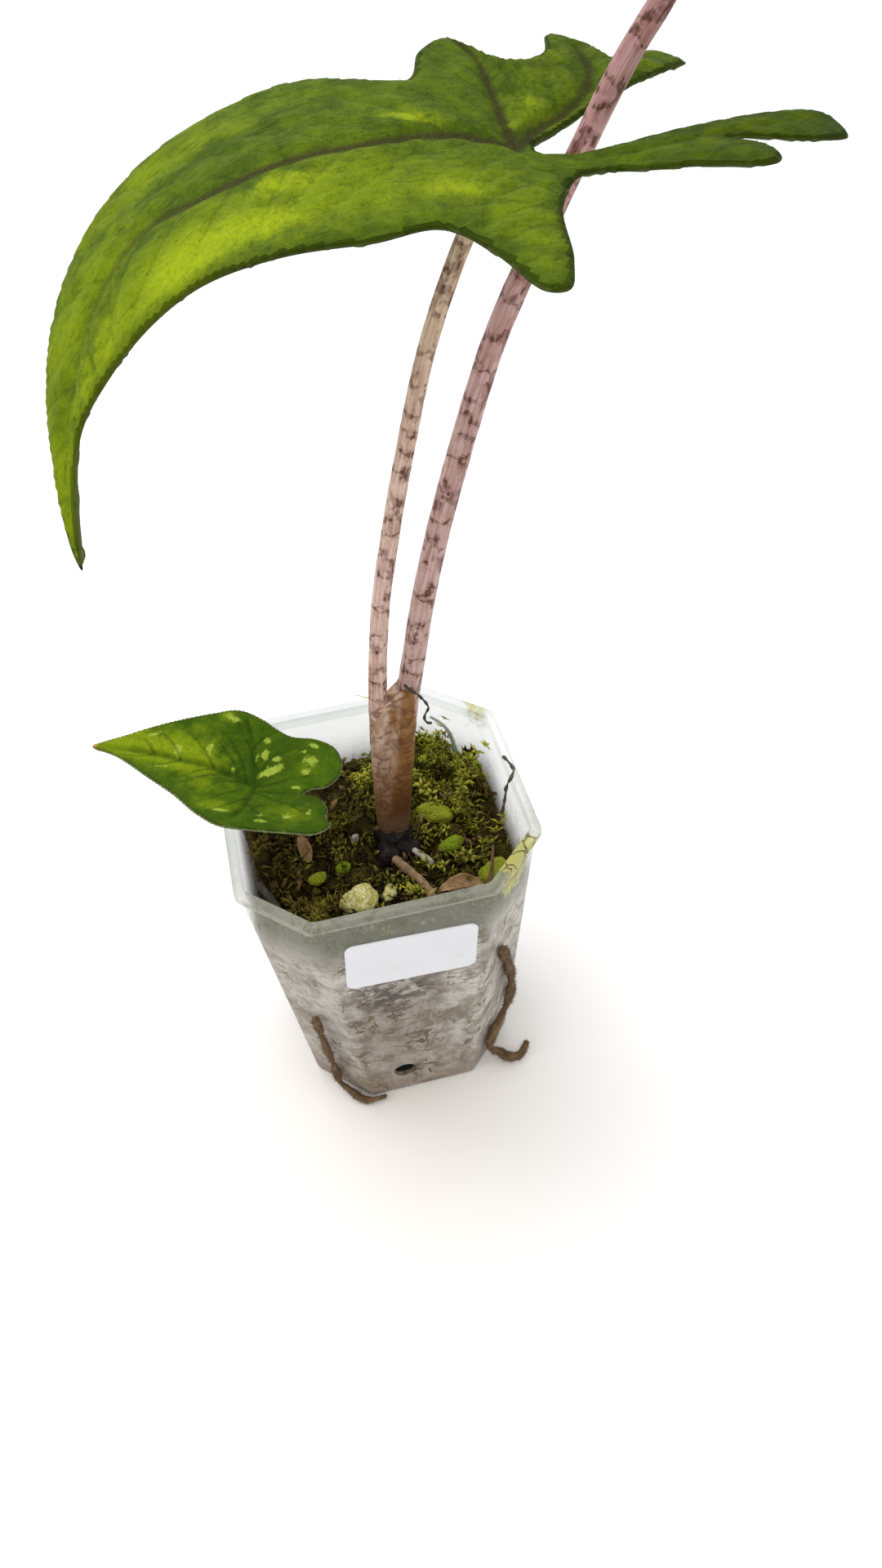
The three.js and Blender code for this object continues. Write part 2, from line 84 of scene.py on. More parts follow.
# %% A small language for finishes
class Signal:
    def __init__(self, finish, socket):
        self.finish, self.socket = finish, socket

    def sum(self, operation, *values):
        return self.finish.node("ShaderNodeMath", {"operation": operation}, values)

    def __add__(self, other):
        return self.sum("ADD", self, other)

    __radd__ = __add__

    def __mul__(self, other):
        return self.sum("MULTIPLY", self, other)

    __rmul__ = __mul__

    def __sub__(self, other):
        return self.sum("SUBTRACT", self, other)

    def __rsub__(self, other):
        return self.sum("SUBTRACT", other, self)


class Finish:
    def __init__(self, name, **constants):
        self.material = bpy.data.materials.new(name)
        self.material.use_nodes = True
        self.tree = self.material.node_tree
        self.shader = self.tree.nodes["Principled BSDF"]
        for socket, value in constants.items():
            self.shader.inputs[socket.replace("_", " ")].default_value = value

    def node(self, kind, settings=None, inputs=(), output=0):
        made = self.tree.nodes.new(kind)
        for key, value in (settings or {}).items():
            if key == "stops":
                ramp = made.color_ramp.elements
                while len(ramp) < len(value):
                    ramp.new(0.5)
                for stop, (place, colour) in zip(ramp, value):
                    stop.position, stop.color = place, (*colour, 1)
            else:
                setattr(made, key, value)
        pairs = inputs.items() if isinstance(inputs, dict) else enumerate(inputs)
        for key, value in pairs:
            if isinstance(value, Signal):
                self.tree.links.new(value.socket, made.inputs[key])
            else:
                made.inputs[key].default_value = value
        return Signal(self, made.outputs[output])

    def give(self, **inputs):
        for key, signal in inputs.items():
            self.tree.links.new(signal.socket, self.shader.inputs[key.replace("_", " ")])

    def place(self, stretch=(1, 1, 1), turn=(0, 0, 0), shift=(0, 0, 0)):
        """Object coordinates in millimetres, stretched, turned and shifted."""
        spot = self.node("ShaderNodeTexCoord", output="Object")
        return self.node("ShaderNodeMapping", None, {
            "Vector": spot, "Location": shift, "Rotation": turn, "Scale": tuple(1000 * s for s in stretch)})

    def attribute(self, name, output="Fac"):
        """A number or a vector that the mesh stores on its points."""
        return self.node("ShaderNodeAttribute", {"attribute_name": name}, output=output)

    def axis(self, vector, letter):
        return self.node("ShaderNodeSeparateXYZ", None, {0: vector}, letter)

    def stretched(self, vector, scale, shift=(0, 0, 0)):
        return self.node("ShaderNodeMapping", None, {"Vector": vector, "Location": shift, "Scale": scale})

    def cloud(self, vector, size, detail=3.0, roughness=0.55, distortion=0.0):
        """Soft noise from 0 to 1 with spots of about this size."""
        return self.node("ShaderNodeTexNoise", None, {
            "Vector": vector, "Scale": 1 / size, "Detail": detail, "Roughness": roughness,
            "Distortion": distortion})

    def cells(self, vector, size, feature="DISTANCE_TO_EDGE", randomness=1.0):
        return self.node("ShaderNodeTexVoronoi", {"feature": feature}, {
            "Vector": vector, "Scale": 1 / size, "Randomness": randomness})

    def step(self, value, low, high):
        """0 below low, 1 above high, smooth between. With high below low it falls instead."""
        a, b, top, bottom = (low, high, 0.0, 1.0) if low < high else (high, low, 1.0, 0.0)
        return self.node("ShaderNodeMapRange", {"interpolation_type": "SMOOTHSTEP"}, {
            "Value": value, "From Min": a, "From Max": b, "To Min": top, "To Max": bottom})

    def blend(self, amount, first, second):
        """Colour first where amount is 0, second where it is 1."""
        colours = [c if isinstance(c, Signal) else (*c, 1) for c in (first, second)]
        return self.node("ShaderNodeMix", {"data_type": "RGBA"}, {0: amount, 6: colours[0], 7: colours[1]}, 2)

    def near(self, vector, centre, inner, outer):
        """1 within inner of a point, 0 beyond outer, in the vector's own units."""
        away = self.node("ShaderNodeVectorMath", {"operation": "DISTANCE"}, {0: vector, 1: centre}, "Value")
        return self.step(away, outer, inner)

    def warp(self, vector, size, amount, detail=3.0):
        """The same vector, pushed about by noise, so that what is drawn with it looks torn."""
        push = self.node("ShaderNodeTexNoise", None, {
            "Vector": vector, "Scale": 1 / size, "Detail": detail}, "Color")
        return self.node("ShaderNodeVectorMath", {"operation": "MULTIPLY_ADD"}, {
            0: push, 1: (amount, amount, amount), 2: vector})

    def sum_of(self, *parts):
        return parts[0] if len(parts) == 1 else parts[0] + self.sum_of(*parts[1:])

    def clip(self, value):
        return self.node("ShaderNodeClamp", None, {"Value": value})

    def bump(self, height, depth):
        """A normal from a height signal, depth in millimetres from 0 to 1."""
        normal = self.node("ShaderNodeBump", None, {"Height": height, "Distance": depth * MM, "Strength": 1.0})
        self.give(Normal=normal)


print("finishes ready")

# %% [markdown]
# The picture is high key: a white table, a bright room and a large soft light overhead.
# A white world and one big area light give that, and the view transform is set to
# Standard so that whites stay white and the greens keep their colour.


# %% Studio
def build_studio():
    scene = bpy.context.scene
    scene.view_settings.view_transform = "Standard"
    world = bpy.data.worlds.new("white_room")
    world.use_nodes = True
    world.node_tree.nodes["Background"].inputs[0].default_value = (1, 1, 1, 1)
    world.node_tree.nodes["Background"].inputs[1].default_value = 1.04
    scene.world = world

    table = Finish("pale_table", Roughness=0.6, Specular_IOR_Level=0.2)
    # A painted warm shadow on the table round the pot's foot.
    painted_shadow = table.near(table.place((1, 1, 0)), (-6, -26, 0), 4, 62)
    table.give(Base_Color=table.blend(painted_shadow * 0.8, (0.93, 0.93, 0.935), (0.95, 0.90, 0.84)))
    mesh = bpy.data.meshes.new("table_top")
    mesh.from_pydata([(-4, -4, -1e-4), (4, -4, -1e-4), (4, 4, -1e-4), (-4, 4, -1e-4)], [], [(0, 1, 2, 3)])
    mesh.materials.append(table.material)
    floor = bpy.data.objects.new("table_top", mesh)
    scene.collection.objects.link(floor)

    for name, spot, size, power in (
        ("soft_box_above", (-0.2, 0.3, 0.75), 0.6, 2.6),
        ("soft_box_left", (-0.7, -0.25, 0.5), 0.6, 0.6),
    ):
        data = bpy.data.lights.new(name, "AREA")
        data.shape, data.size, data.energy = "SQUARE", size, power
        lamp = bpy.data.objects.new(name, data)
        scene.collection.objects.link(lamp)
        lamp.location = spot
        lamp.rotation_euler = (Vector((0, 0, 0.08)) - Vector(spot)).to_track_quat("-Z", "Y").to_euler()


build_studio()
print("studio ready")

# %% [markdown]
# Every piece is a closed mesh at the origin. closed_mesh() takes points in millimetres
# with any values that the finish reads from them, and turns the faces outwards by the
# sign of the volume. register() hands the piece to the frame. Primitives with modifiers
# would be shorter, but their points could not carry such values.


# %% Making and registering pieces
def closed_mesh(name, points, faces, values=None):
    points = np.asarray(points, float)
    triangles = np.array([(f[0], f[i], f[i + 1]) for f in faces for i in range(1, len(f) - 1)])
    a, b, c = (points[triangles[:, k]] for k in range(3))
    if (a * np.cross(b, c)).sum() < 0:
        faces = [tuple(reversed(f)) for f in faces]
    mesh = bpy.data.meshes.new(name)
    mesh.from_pydata((points * MM).tolist(), [], [tuple(int(i) for i in f) for f in faces])
    for key, value in (values or {}).items():
        value = np.asarray(value, np.float32)
        kind, slot = ("FLOAT_VECTOR", "vector") if value.ndim == 2 else ("FLOAT", "value")
        mesh.attributes.new(key, kind, "POINT").data.foreach_set(slot, value.ravel())
    mesh.polygons.foreach_set("use_smooth", [True] * len(mesh.polygons))
    return mesh


def stack_faces(rings, sides):
    """Faces between stacked rings. The two points after the last ring close the ends."""
    faces = [(r * sides + k, r * sides + (k + 1) % sides, (r + 1) * sides + (k + 1) % sides, (r + 1) * sides + k)
             for r in range(rings - 1) for k in range(sides)]
    last, first_cap = (rings - 1) * sides, rings * sides
    faces += [((k + 1) % sides, k, first_cap) for k in range(sides)]
    faces += [(last + k, last + (k + 1) % sides, first_cap + 1) for k in range(sides)]
    return faces


def points_of(thing):
    flat = np.empty(len(thing.data.vertices) * 3, np.float32)
    thing.data.vertices.foreach_get("co", flat)
    return flat.reshape(-1, 3)


def move_points(thing, points):
    thing.data.vertices.foreach_set("co", points.astype(np.float32).ravel())


def show(name, mesh, finishes):
    for finish in finishes:
        mesh.materials.append(finish.material)
    thing = bpy.data.objects.new(name, mesh)
    bpy.context.scene.collection.objects.link(thing)
    return thing


def register(thing, slot, *nodes):
    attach(thing, "root")
    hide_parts(*nodes)
    triangles = sum(len(p.vertices) - 2 for p in thing.data.polygons)
    print(f"{thing.name}: {triangles} triangles")
    return thing


def join(first, *others):
    """One object from several, so that hairs and scales belong to their piece."""
    with bpy.context.temp_override(active_object=first, selected_editable_objects=[first, *others]):
        bpy.ops.object.join()
    return first

# %% [markdown]
# Roughness in the geometry comes from Perlin noise read at each point. A fixed shift for
# each piece keeps them from all looking alike, and nothing is random from run to run.


# %% Noise on points
def rough(points, size, shift=0.0, octaves=3):
    """Noise from about -1 to 1 at each point, with bumps of this size in millimetres."""
    return np.array([noise.fractal(Vector(p) / size + Vector((shift, -shift, shift)), 1.0, 2.0, octaves)
                     for p in np.asarray(points, float)])


def puffs(points, size, shift=0.0):
    """Rounded cushions: 1 in the middle of each cell, 0 in the gaps between them."""
    near = [noise.voronoi(Vector(p) / size + Vector((shift, shift, -shift)))[0] for p in points]
    return np.clip([(b - a) * 1.6 for a, b, _, _ in near], 0, 1)

# %% [markdown]
# Stalks, roots and threads follow a few measured points. A centripetal Catmull-Rom curve
# passes through all of them without loops, and it is read at even steps along its length.


# %% Paths and tubes
def span(p0, p1, p2, p3, count):
    a, b, c = (max(np.linalg.norm(q - p), 1e-6) ** 0.5 for p, q in ((p0, p1), (p1, p2), (p2, p3)))
    m1 = ((p1 - p0) / a - (p2 - p0) / (a + b) + (p2 - p1) / b) * b
    m2 = ((p2 - p1) / b - (p3 - p1) / (b + c) + (p3 - p2) / c) * b
    t = np.linspace(0, 1, count, endpoint=False)[:, None]
    return ((2 * t**3 - 3 * t**2 + 1) * p1 + (t**3 - 2 * t**2 + t) * m1
            + (3 * t**2 - 2 * t**3) * p2 + (t**3 - t**2) * m2)


def even_steps(line, count):
    length = np.concatenate([[0], np.cumsum(np.linalg.norm(np.diff(line, axis=0), axis=1))])
    at = np.linspace(0, length[-1], count)
    return np.stack([np.interp(at, length, line[:, k]) for k in range(line.shape[1])], 1), at


def path_through(points, count):
    """Even points along an open curve, and how far along each one is."""
    p = np.asarray(points, float)
    p = np.vstack([2 * p[0] - p[1], p, 2 * p[-1] - p[-2]])
    line = np.vstack([span(*p[i:i + 4], 24) for i in range(len(p) - 3)] + [p[-2:-1]])
    return even_steps(line, count)


def tube(points, radius, sides=12, count=60, wander=0.0, wander_size=2.0, shift=0.0):
    """A closed tube. radius is one number, or a function of the part of the way along it."""
    centre, along = path_through(points, count)
    part = along / along[-1]
    size = np.array([radius(t) for t in part]) if callable(radius) else np.full(count, float(radius))
    tangent = np.gradient(centre, axis=0)
    tangent /= np.linalg.norm(tangent, axis=1)[:, None]
    normal = np.cross(tangent[0], (0.0, 1.0, 0.2))
    rings, values = [], []
    for i in range(count):
        normal = normal - tangent[i] * (normal @ tangent[i])
        normal /= np.linalg.norm(normal)
        other = np.cross(tangent[i], normal)
        turn = np.linspace(0, 2 * np.pi, sides, endpoint=False)[:, None]
        rings.append(centre[i] + size[i] * (np.cos(turn) * normal + np.sin(turn) * other))
        values.append(np.hstack([size[i] * np.cos(turn), size[i] * np.sin(turn), np.full((sides, 1), along[i])]))
    skin = np.vstack(rings)
    middle = np.repeat(centre, sides, axis=0)
    if wander:
        skin = skin + (skin - middle) * (wander * rough(skin, wander_size, shift))[:, None]
    points = np.vstack([skin, centre[:1] - tangent[:1] * size[0] * 0.3, centre[-1:] + tangent[-1:] * size[-1] * 0.5])
    stalk = np.vstack([*values, [(0, 0, along[0])], [(0, 0, along[-1])]])
    return points, stack_faces(count, sides), {"stalk": stalk, "part": stalk[:, 2] / along[-1]}

# %% [markdown]
# Moss leaves, fibres, hairs and root fuzz repeat by the thousand. One Geometry Nodes
# tree scatters a small shape over a piece: points on the faces, a copy on each point with
# its own turn, lean and size, and a stored number called tone that the finish reads.


# %% Scattering small shapes
def scatter_tree():
    tree = bpy.data.node_groups.new("scatter_over_surface", "GeometryNodeTree")
    ask = {}
    for label, kind in (("Surface", "Geometry"), ("Shape", "Object"), ("Per square millimetre", "Float"),
                        ("Where", "String"), ("Smallest", "Float"), ("Largest", "Float"),
                        ("Least lean", "Vector"), ("Most lean", "Vector"), ("Seed", "Int"), ("Finish", "Material")):
        ask[label] = tree.interface.new_socket(label, in_out="INPUT", socket_type=f"NodeSocket{kind}")
    tree.interface.new_socket("Grown", in_out="OUTPUT", socket_type="NodeSocketGeometry")

    def node(kind, inputs=None, **settings):
        made = tree.nodes.new(kind)
        for key, value in settings.items():
            setattr(made, key, value)
        for key, value in (inputs or {}).items():
            if isinstance(value, bpy.types.NodeSocket):
                tree.links.new(value, made.inputs[key])
            else:
                made.inputs[key].default_value = value
        return made

    given = node("NodeGroupInput").outputs
    mask = node("GeometryNodeInputNamedAttribute", {"Name": given["Where"]}, data_type="FLOAT")
    dense = node("ShaderNodeMath", {0: given["Per square millimetre"], 1: 1e6}, operation="MULTIPLY")
    masked = node("ShaderNodeMath", {0: dense.outputs[0], 1: mask.outputs[0]}, operation="MULTIPLY")
    spots = node("GeometryNodeDistributePointsOnFaces", {
        "Mesh": given["Surface"], "Density": masked.outputs[0], "Seed": given["Seed"]})
    shape = node("GeometryNodeObjectInfo", {"Object": given["Shape"], "As Instance": True})
    size = node("FunctionNodeRandomValue", {2: given["Smallest"], 3: given["Largest"], "Seed": given["Seed"]},
                data_type="FLOAT")
    copies = node("GeometryNodeInstanceOnPoints", {
        "Points": spots.outputs["Points"], "Instance": shape.outputs["Geometry"],
        "Rotation": spots.outputs["Rotation"], "Scale": size.outputs[1]})
    seed = node("ShaderNodeMath", {0: given["Seed"], 1: 7.0}, operation="ADD")
    lean = node("FunctionNodeRandomValue", {0: given["Least lean"], 1: given["Most lean"], "Seed": seed.outputs[0]},
                data_type="FLOAT_VECTOR")
    leaning = node("GeometryNodeRotateInstances", {"Instances": copies.outputs[0], "Rotation": lean.outputs[0]})
    third = node("ShaderNodeMath", {0: given["Seed"], 1: 23.0}, operation="ADD")
    tone = node("FunctionNodeRandomValue", {2: 0.0, 3: 1.0, "Seed": third.outputs[0]}, data_type="FLOAT")
    toned = node("GeometryNodeStoreNamedAttribute", {
        "Geometry": leaning.outputs[0], "Name": "tone", "Value": tone.outputs[1]},
        data_type="FLOAT", domain="INSTANCE")
    real = node("GeometryNodeRealizeInstances", {"Geometry": toned.outputs[0]})
    dressed = node("GeometryNodeSetMaterial", {"Geometry": real.outputs[0], "Material": given["Finish"]})
    node("NodeGroupOutput", {"Grown": dressed.outputs[0]})
    return tree, {label: socket.identifier for label, socket in ask.items()}


SCATTER, ASK = scatter_tree()


def grow(host, shape, finish, *, per_mm2, where, sizes, lean, seed):
    """Scatters a shape over a piece and joins the copies to it."""
    made = host.modifiers.new("grown", "NODES")
    made.node_group = SCATTER
    for label, value in {
        "Shape": shape, "Per square millimetre": float(per_mm2), "Where": where, "Smallest": float(sizes[0]),
        "Largest": float(sizes[1]), "Least lean": [-v for v in lean], "Most lean": list(lean), "Seed": seed,
        "Finish": finish.material,
    }.items():
        made[ASK[label]] = value
    graph = bpy.context.evaluated_depsgraph_get()
    mesh = bpy.data.meshes.new_from_object(host.evaluated_get(graph), preserve_all_data_layers=True, depsgraph=graph)
    host.modifiers.remove(made)
    grown = bpy.data.objects.new("grown", mesh)
    bpy.context.scene.collection.objects.link(grown)
    count = len(mesh.polygons)
    join(host, grown)
    print(f"  {host.name}: {count} faces grown")
    return host


def ribbon(length, width, arch, sections=4, thick=0.3):
    """Points, faces and root-to-tip values of a thin three-sided leaf that stands up and arches over."""
    rings = []
    for i in range(sections):
        t = i / sections
        wide = width * (0.35 + 1.3 * t) * (1 - t) ** 0.6 if thick < 1 else width * (1 - t)
        y, z = arch * t * t, length * t * (1 - 0.25 * abs(arch) / length * t)
        rings += [(-wide / 2, y, z), (wide / 2, y, z), (0, y + max(wide, 0.02) * thick, z)]
    tip = (0, arch, length * (1 - 0.25 * abs(arch) / length))
    faces = [(3 * r + k, 3 * r + (k + 1) % 3, 3 * r + 3 + (k + 1) % 3, 3 * r + 3 + k)
             for r in range(sections - 1) for k in range(3)]
    top = 3 * (sections - 1)
    faces += [(top + k, top + (k + 1) % 3, len(rings)) for k in range(3)] + [(0, 2, 1)]
    return np.array([*rings, tip]), faces, np.repeat(np.arange(sections + 1) / sections, 3)[:len(rings) + 1]


def shape_of(name, points, faces, tip):
    thing = bpy.data.objects.new(name, closed_mesh(name, points, faces, {"tip": tip}))
    bpy.context.scene.collection.objects.link(thing)
    thing.hide_render = True
    SHAPES.append(thing)
    return thing


def sprig(name, length, width, arch, sections=4, thick=0.3):
    return shape_of(name, *ribbon(length, width, arch, sections, thick))


GOLDEN_TURN = 2.39996


def rosette(name, leaves, length, width, arch):
    """A moss head: leaves that spread from one point, the outer ones lower and longer."""
    points, faces, tips = [], [], []
    for i in range(leaves):
        part = i / (leaves - 1)
        p, f, t = ribbon(length * (0.6 + 0.4 * part), width, arch * (0.4 + 0.9 * part), 2)
        lean = Matrix.Rotation(-math.radians(10 + 62 * part), 3, "X")
        spin = Matrix.Rotation(GOLDEN_TURN * i, 3, "Z")
        start = sum(len(q) for q in points)
        points.append(np.array([spin @ (lean @ Vector(q)) for q in p]))
        faces += [tuple(k + start for k in g) for g in f]
        tips.append(t)
    return shape_of(name, np.vstack(points), faces, np.concatenate(tips))


def feather(name, whorls, length, leaf, width):
    """A creeping moss stem that arches over, with leaves all round it."""
    points, faces, tips = [], [], []
    for w in range(whorls):
        t = w / (whorls - 1)
        start = Vector((0.25 * math.sin(5 * t), length * t, 0.55 + 0.42 * length * math.sin(2.4 * t) * 0.45))
        pitch = -math.radians(25 + 70 * t)
        for k in range(4):
            p, f, tip = ribbon(leaf * (1 - 0.35 * t), width, leaf * 0.35, 2)
            turn = (Matrix.Rotation(pitch, 3, "X") @ Matrix.Rotation(GOLDEN_TURN * (w * 4 + k), 3, "Z")
                    @ Matrix.Rotation(-math.radians(48), 3, "X"))
            first = sum(len(q) for q in points)
            points.append(np.array([turn @ Vector(q) + start for q in p]))
            faces += [tuple(i + first for i in g) for g in f]
            tips.append(0.35 + 0.65 * tip * (0.5 + 0.5 * t))
    return shape_of(name, np.vstack(points), faces, np.concatenate(tips))


SHAPES = []
print("scatter tree inputs", list(ASK))

# %% [markdown]
# ## The pot
# A square nursery pot of thin clear plastic with cut corners. On the real one the walls
# meet in small rounded edges and the rim is a plain raised band with a fine groove. It
# is made as stacked rings, each a rounded octagon, and four drain holes are cut out by a
# boolean. The CAD octagon is sharp, so a new mesh is worth it for the highlights.

# %% Pot sizes
POT_HEIGHT, POT_FOOT, POT_BODY, POT_RIM = 60.3, 37.8, 48.9, 50.0
POT_WALL, POT_FLOOR, RIM_BAND = 0.9, 1.2, 2.0
FOOT_CHAMFER, RIM_CHAMFER = 9.0, 10.1
DRAIN_RADIUS, DRAIN_HEIGHT, DRAIN_OFFSET = 2.1, 7.5, -3.0
BEHIND_DRAINS = [(-3, -18.5), (18.5, -3), (3, 18.5), (-18.5, 3)]


def across_at(z):
    return POT_FOOT + (POT_BODY - POT_FOOT) * z / POT_HEIGHT


def chamfer_at(z):
    return FOOT_CHAMFER + (RIM_CHAMFER - FOOT_CHAMFER) * z / POT_HEIGHT


def rounded_octagon(across, chamfer, z, inset=0.0, corner=1.6, arc=6, flat=5):
    half = across / 2 - inset
    leg = chamfer - inset * (2 - math.sqrt(2))
    a = half - leg
    corners = [(-a, -half), (a, -half), (half, -a), (half, a), (a, half), (-a, half), (-half, a), (-half, -a)]
    cut = corner * math.tan(math.radians(22.5))
    ring = []
    for i, here in enumerate(corners):
        here = np.array(here)
        back = (np.array(corners[i - 1]) - here) / np.linalg.norm(np.array(corners[i - 1]) - here)
        on = (np.array(corners[(i + 1) % 8]) - here) / np.linalg.norm(np.array(corners[(i + 1) % 8]) - here)
        start, end = here + back * cut, here + on * cut
        middle = here + (back + on) / np.linalg.norm(back + on) * corner / math.cos(math.radians(22.5))
        for k in range(arc):
            spoke = start + (end - start) * k / (arc - 1) - middle
            ring.append((*(middle + spoke / np.linalg.norm(spoke) * corner), z))
        following = np.array(corners[(i + 1) % 8]) - on * cut
        ring += [(*(end + (following - end) * k / flat), z) for k in range(1, flat)]
    return np.array(ring)


print("rim across", POT_RIM, "mm, ring points", len(rounded_octagon(POT_RIM, RIM_CHAMFER, 60)))

# %% [markdown]
# Clear plastic with dew and dust on it looks milky. The alpha lets the moss show through
# as a soft shape. Below the moss line the wall is a little denser, with brown and grey
# smudges and short fibres stuck to it, and yellow-green algae sit on one rim corner.
# There it is also lighter toward the right and darker toward the left and the foot, and
# a painted shadow darkens the middle of its lower front.


# %% Pot finish
def milky_plastic():
    f = Finish("milky_plastic", Roughness=0.3, IOR=1.46, Specular_IOR_Level=0.35)
    spot = f.place()
    x, y, height = (f.axis(spot, letter) for letter in "XYZ")
    below = f.step(height + f.cloud(spot, 6, 3) * 4, 57, 45)
    haze = f.cloud(spot, 6, 4, 0.6)
    crowd = f.step(f.cloud(f.place((1, 1, 0.8), shift=(3, 1, 7)), 7.0, 4, 0.6, 0.5), 0.36, 0.62)
    flecks = [f.step(f.cloud(f.place(stretch, turn), size, 3, 0.6, 1.2), low, low + 0.07)
              for size, stretch, turn, low in ((2.4, (0.5, 0.5, 1.4), (0.6, 0.3, 0.2), 0.56),
                                               (1.9, (1.3, 1.3, 0.5), (0.3, 0.6, 0.5), 0.57),
                                               (1.2, (0.6, 0.6, 1.2), (1.2, 0.4, 0.9), 0.59))]
    flecks = f.clip(f.sum_of(*flecks))
    middle = f.near(f.place((0.75, 1, 1)), (-2.6, -21.8, 35.5), 2.5, 9.5)
    smear = f.step(f.cloud(f.place((0.8, 0.8, 1.3), (0.4, 0.3, 0.5)), 2.4, 5, 0.65, 0.8), 0.44, 0.53) * middle
    threads = f.step(f.cells(f.warp(f.place((0.5, 0.5, 1), (0.5, 0.4, 0.3)), 2.0, 2.2), 4.5), 0.035, 0.01) * crowd
    scum = f.near(f.place((1, 1, 0.55)), (20.6, -19.6, 32.2), 3.2, 7.5)
    crust = f.near(f.place((1, 1, 0.5)), (23.0, 17.5, 30.2), 1.5, 5.5)
    algae = f.step(f.sum_of(scum * 0.7, crust * 0.5, f.cloud(spot, 1.3, 4) * 1.0), 0.82, 1.12)
    lines = f.step(f.cells(f.warp(f.place((1, 1, 0.6)), 1.5, 1.0), 3.1), 0.06, 0.02) * scum
    foot = f.step(height, 15, 1)
    front = f.step(y, 6, -14)
    wall = f.blend(front, f.blend(haze, (0.66, 0.69, 0.69), (0.76, 0.79, 0.79)), (0.43, 0.435, 0.36))
    behind = f.step(f.cloud(f.place((1, 1, 0.55), shift=(2, 9, 4)), 3.2, 4, 0.6), 0.5, 0.64)
    behind = behind * front * f.step(height, 58.5, 56)
    wall = f.blend(behind * 0.5, wall, (0.22, 0.23, 0.11))
    wall = f.blend(flecks * front * crowd * 0.6, wall, (0.16, 0.15, 0.07))
    mottle = f.cloud(f.place((1, 1, 0.9), shift=(5, 2, 8)), 3.4, 4, 0.62, 0.5)
    packed = f.blend(f.step(haze * 0.4 + mottle * 0.6, 0.36, 0.62), (0.22, 0.185, 0.145), (0.60, 0.565, 0.51))
    packed = f.blend(f.step(x, 4, 22) * 0.32, packed, (0.72, 0.68, 0.60))
    packed = f.blend(f.step(x, -6, -20) * 0.28, packed, (0.22, 0.17, 0.11))
    # Painted shadow: the lower front is darker round its middle.
    packed = f.blend(f.near(f.place((1, 1, 0.6)), (-3, -20, 13.5), 3, 15) * 0.6, packed, (0.16, 0.12, 0.085))
    packed = f.blend(foot * 0.7, packed, (0.24, 0.18, 0.13))
    packed = f.blend(flecks * (crowd * 0.75 + 0.25), packed, (0.085, 0.050, 0.026))
    packed = f.blend(smear * 0.9, packed, (0.050, 0.034, 0.028))
    packed = f.blend(threads * 0.6, packed, (0.16, 0.13, 0.06))
    colour = f.blend(below, wall, packed)
    colour = f.blend(algae, colour, (0.50, 0.48, 0.12))
    f.give(Base_Color=f.blend(lines, colour, (0.10, 0.07, 0.03)))
    rim = f.step(height, POT_HEIGHT - RIM_BAND - 0.1, POT_HEIGHT - RIM_BAND + 0.1) * 0.16
    stuck = flecks * f.step(height, 58, 50) * crowd * front * 0.35
    f.give(Alpha=f.clip(f.sum_of(haze * 0.1 + 0.19, rim, below * 0.62, stuck, smear * 0.35, algae * 0.4, lines * 0.5)))
    f.give(Roughness=f.cloud(spot, 5, 3) * 0.25 + 0.22)
    f.bump(f.sum_of(f.cloud(spot, 5.0, 2), flecks * below * 0.5), 0.06)
    return f


pot_finish = milky_plastic()
print("pot finish", len(pot_finish.tree.nodes), "nodes")

# %% [markdown]
# The pot is pressed from one thin sheet, with cut corners that widen a little to the top,
# a rim band and a drain hole low in each wall. It could be a scaled primitive, but the
# corners change with the height, so it is a stack of rounded octagons, outside up and
# inside down. The holes are cut through by a boolean, as a punch would cut them.

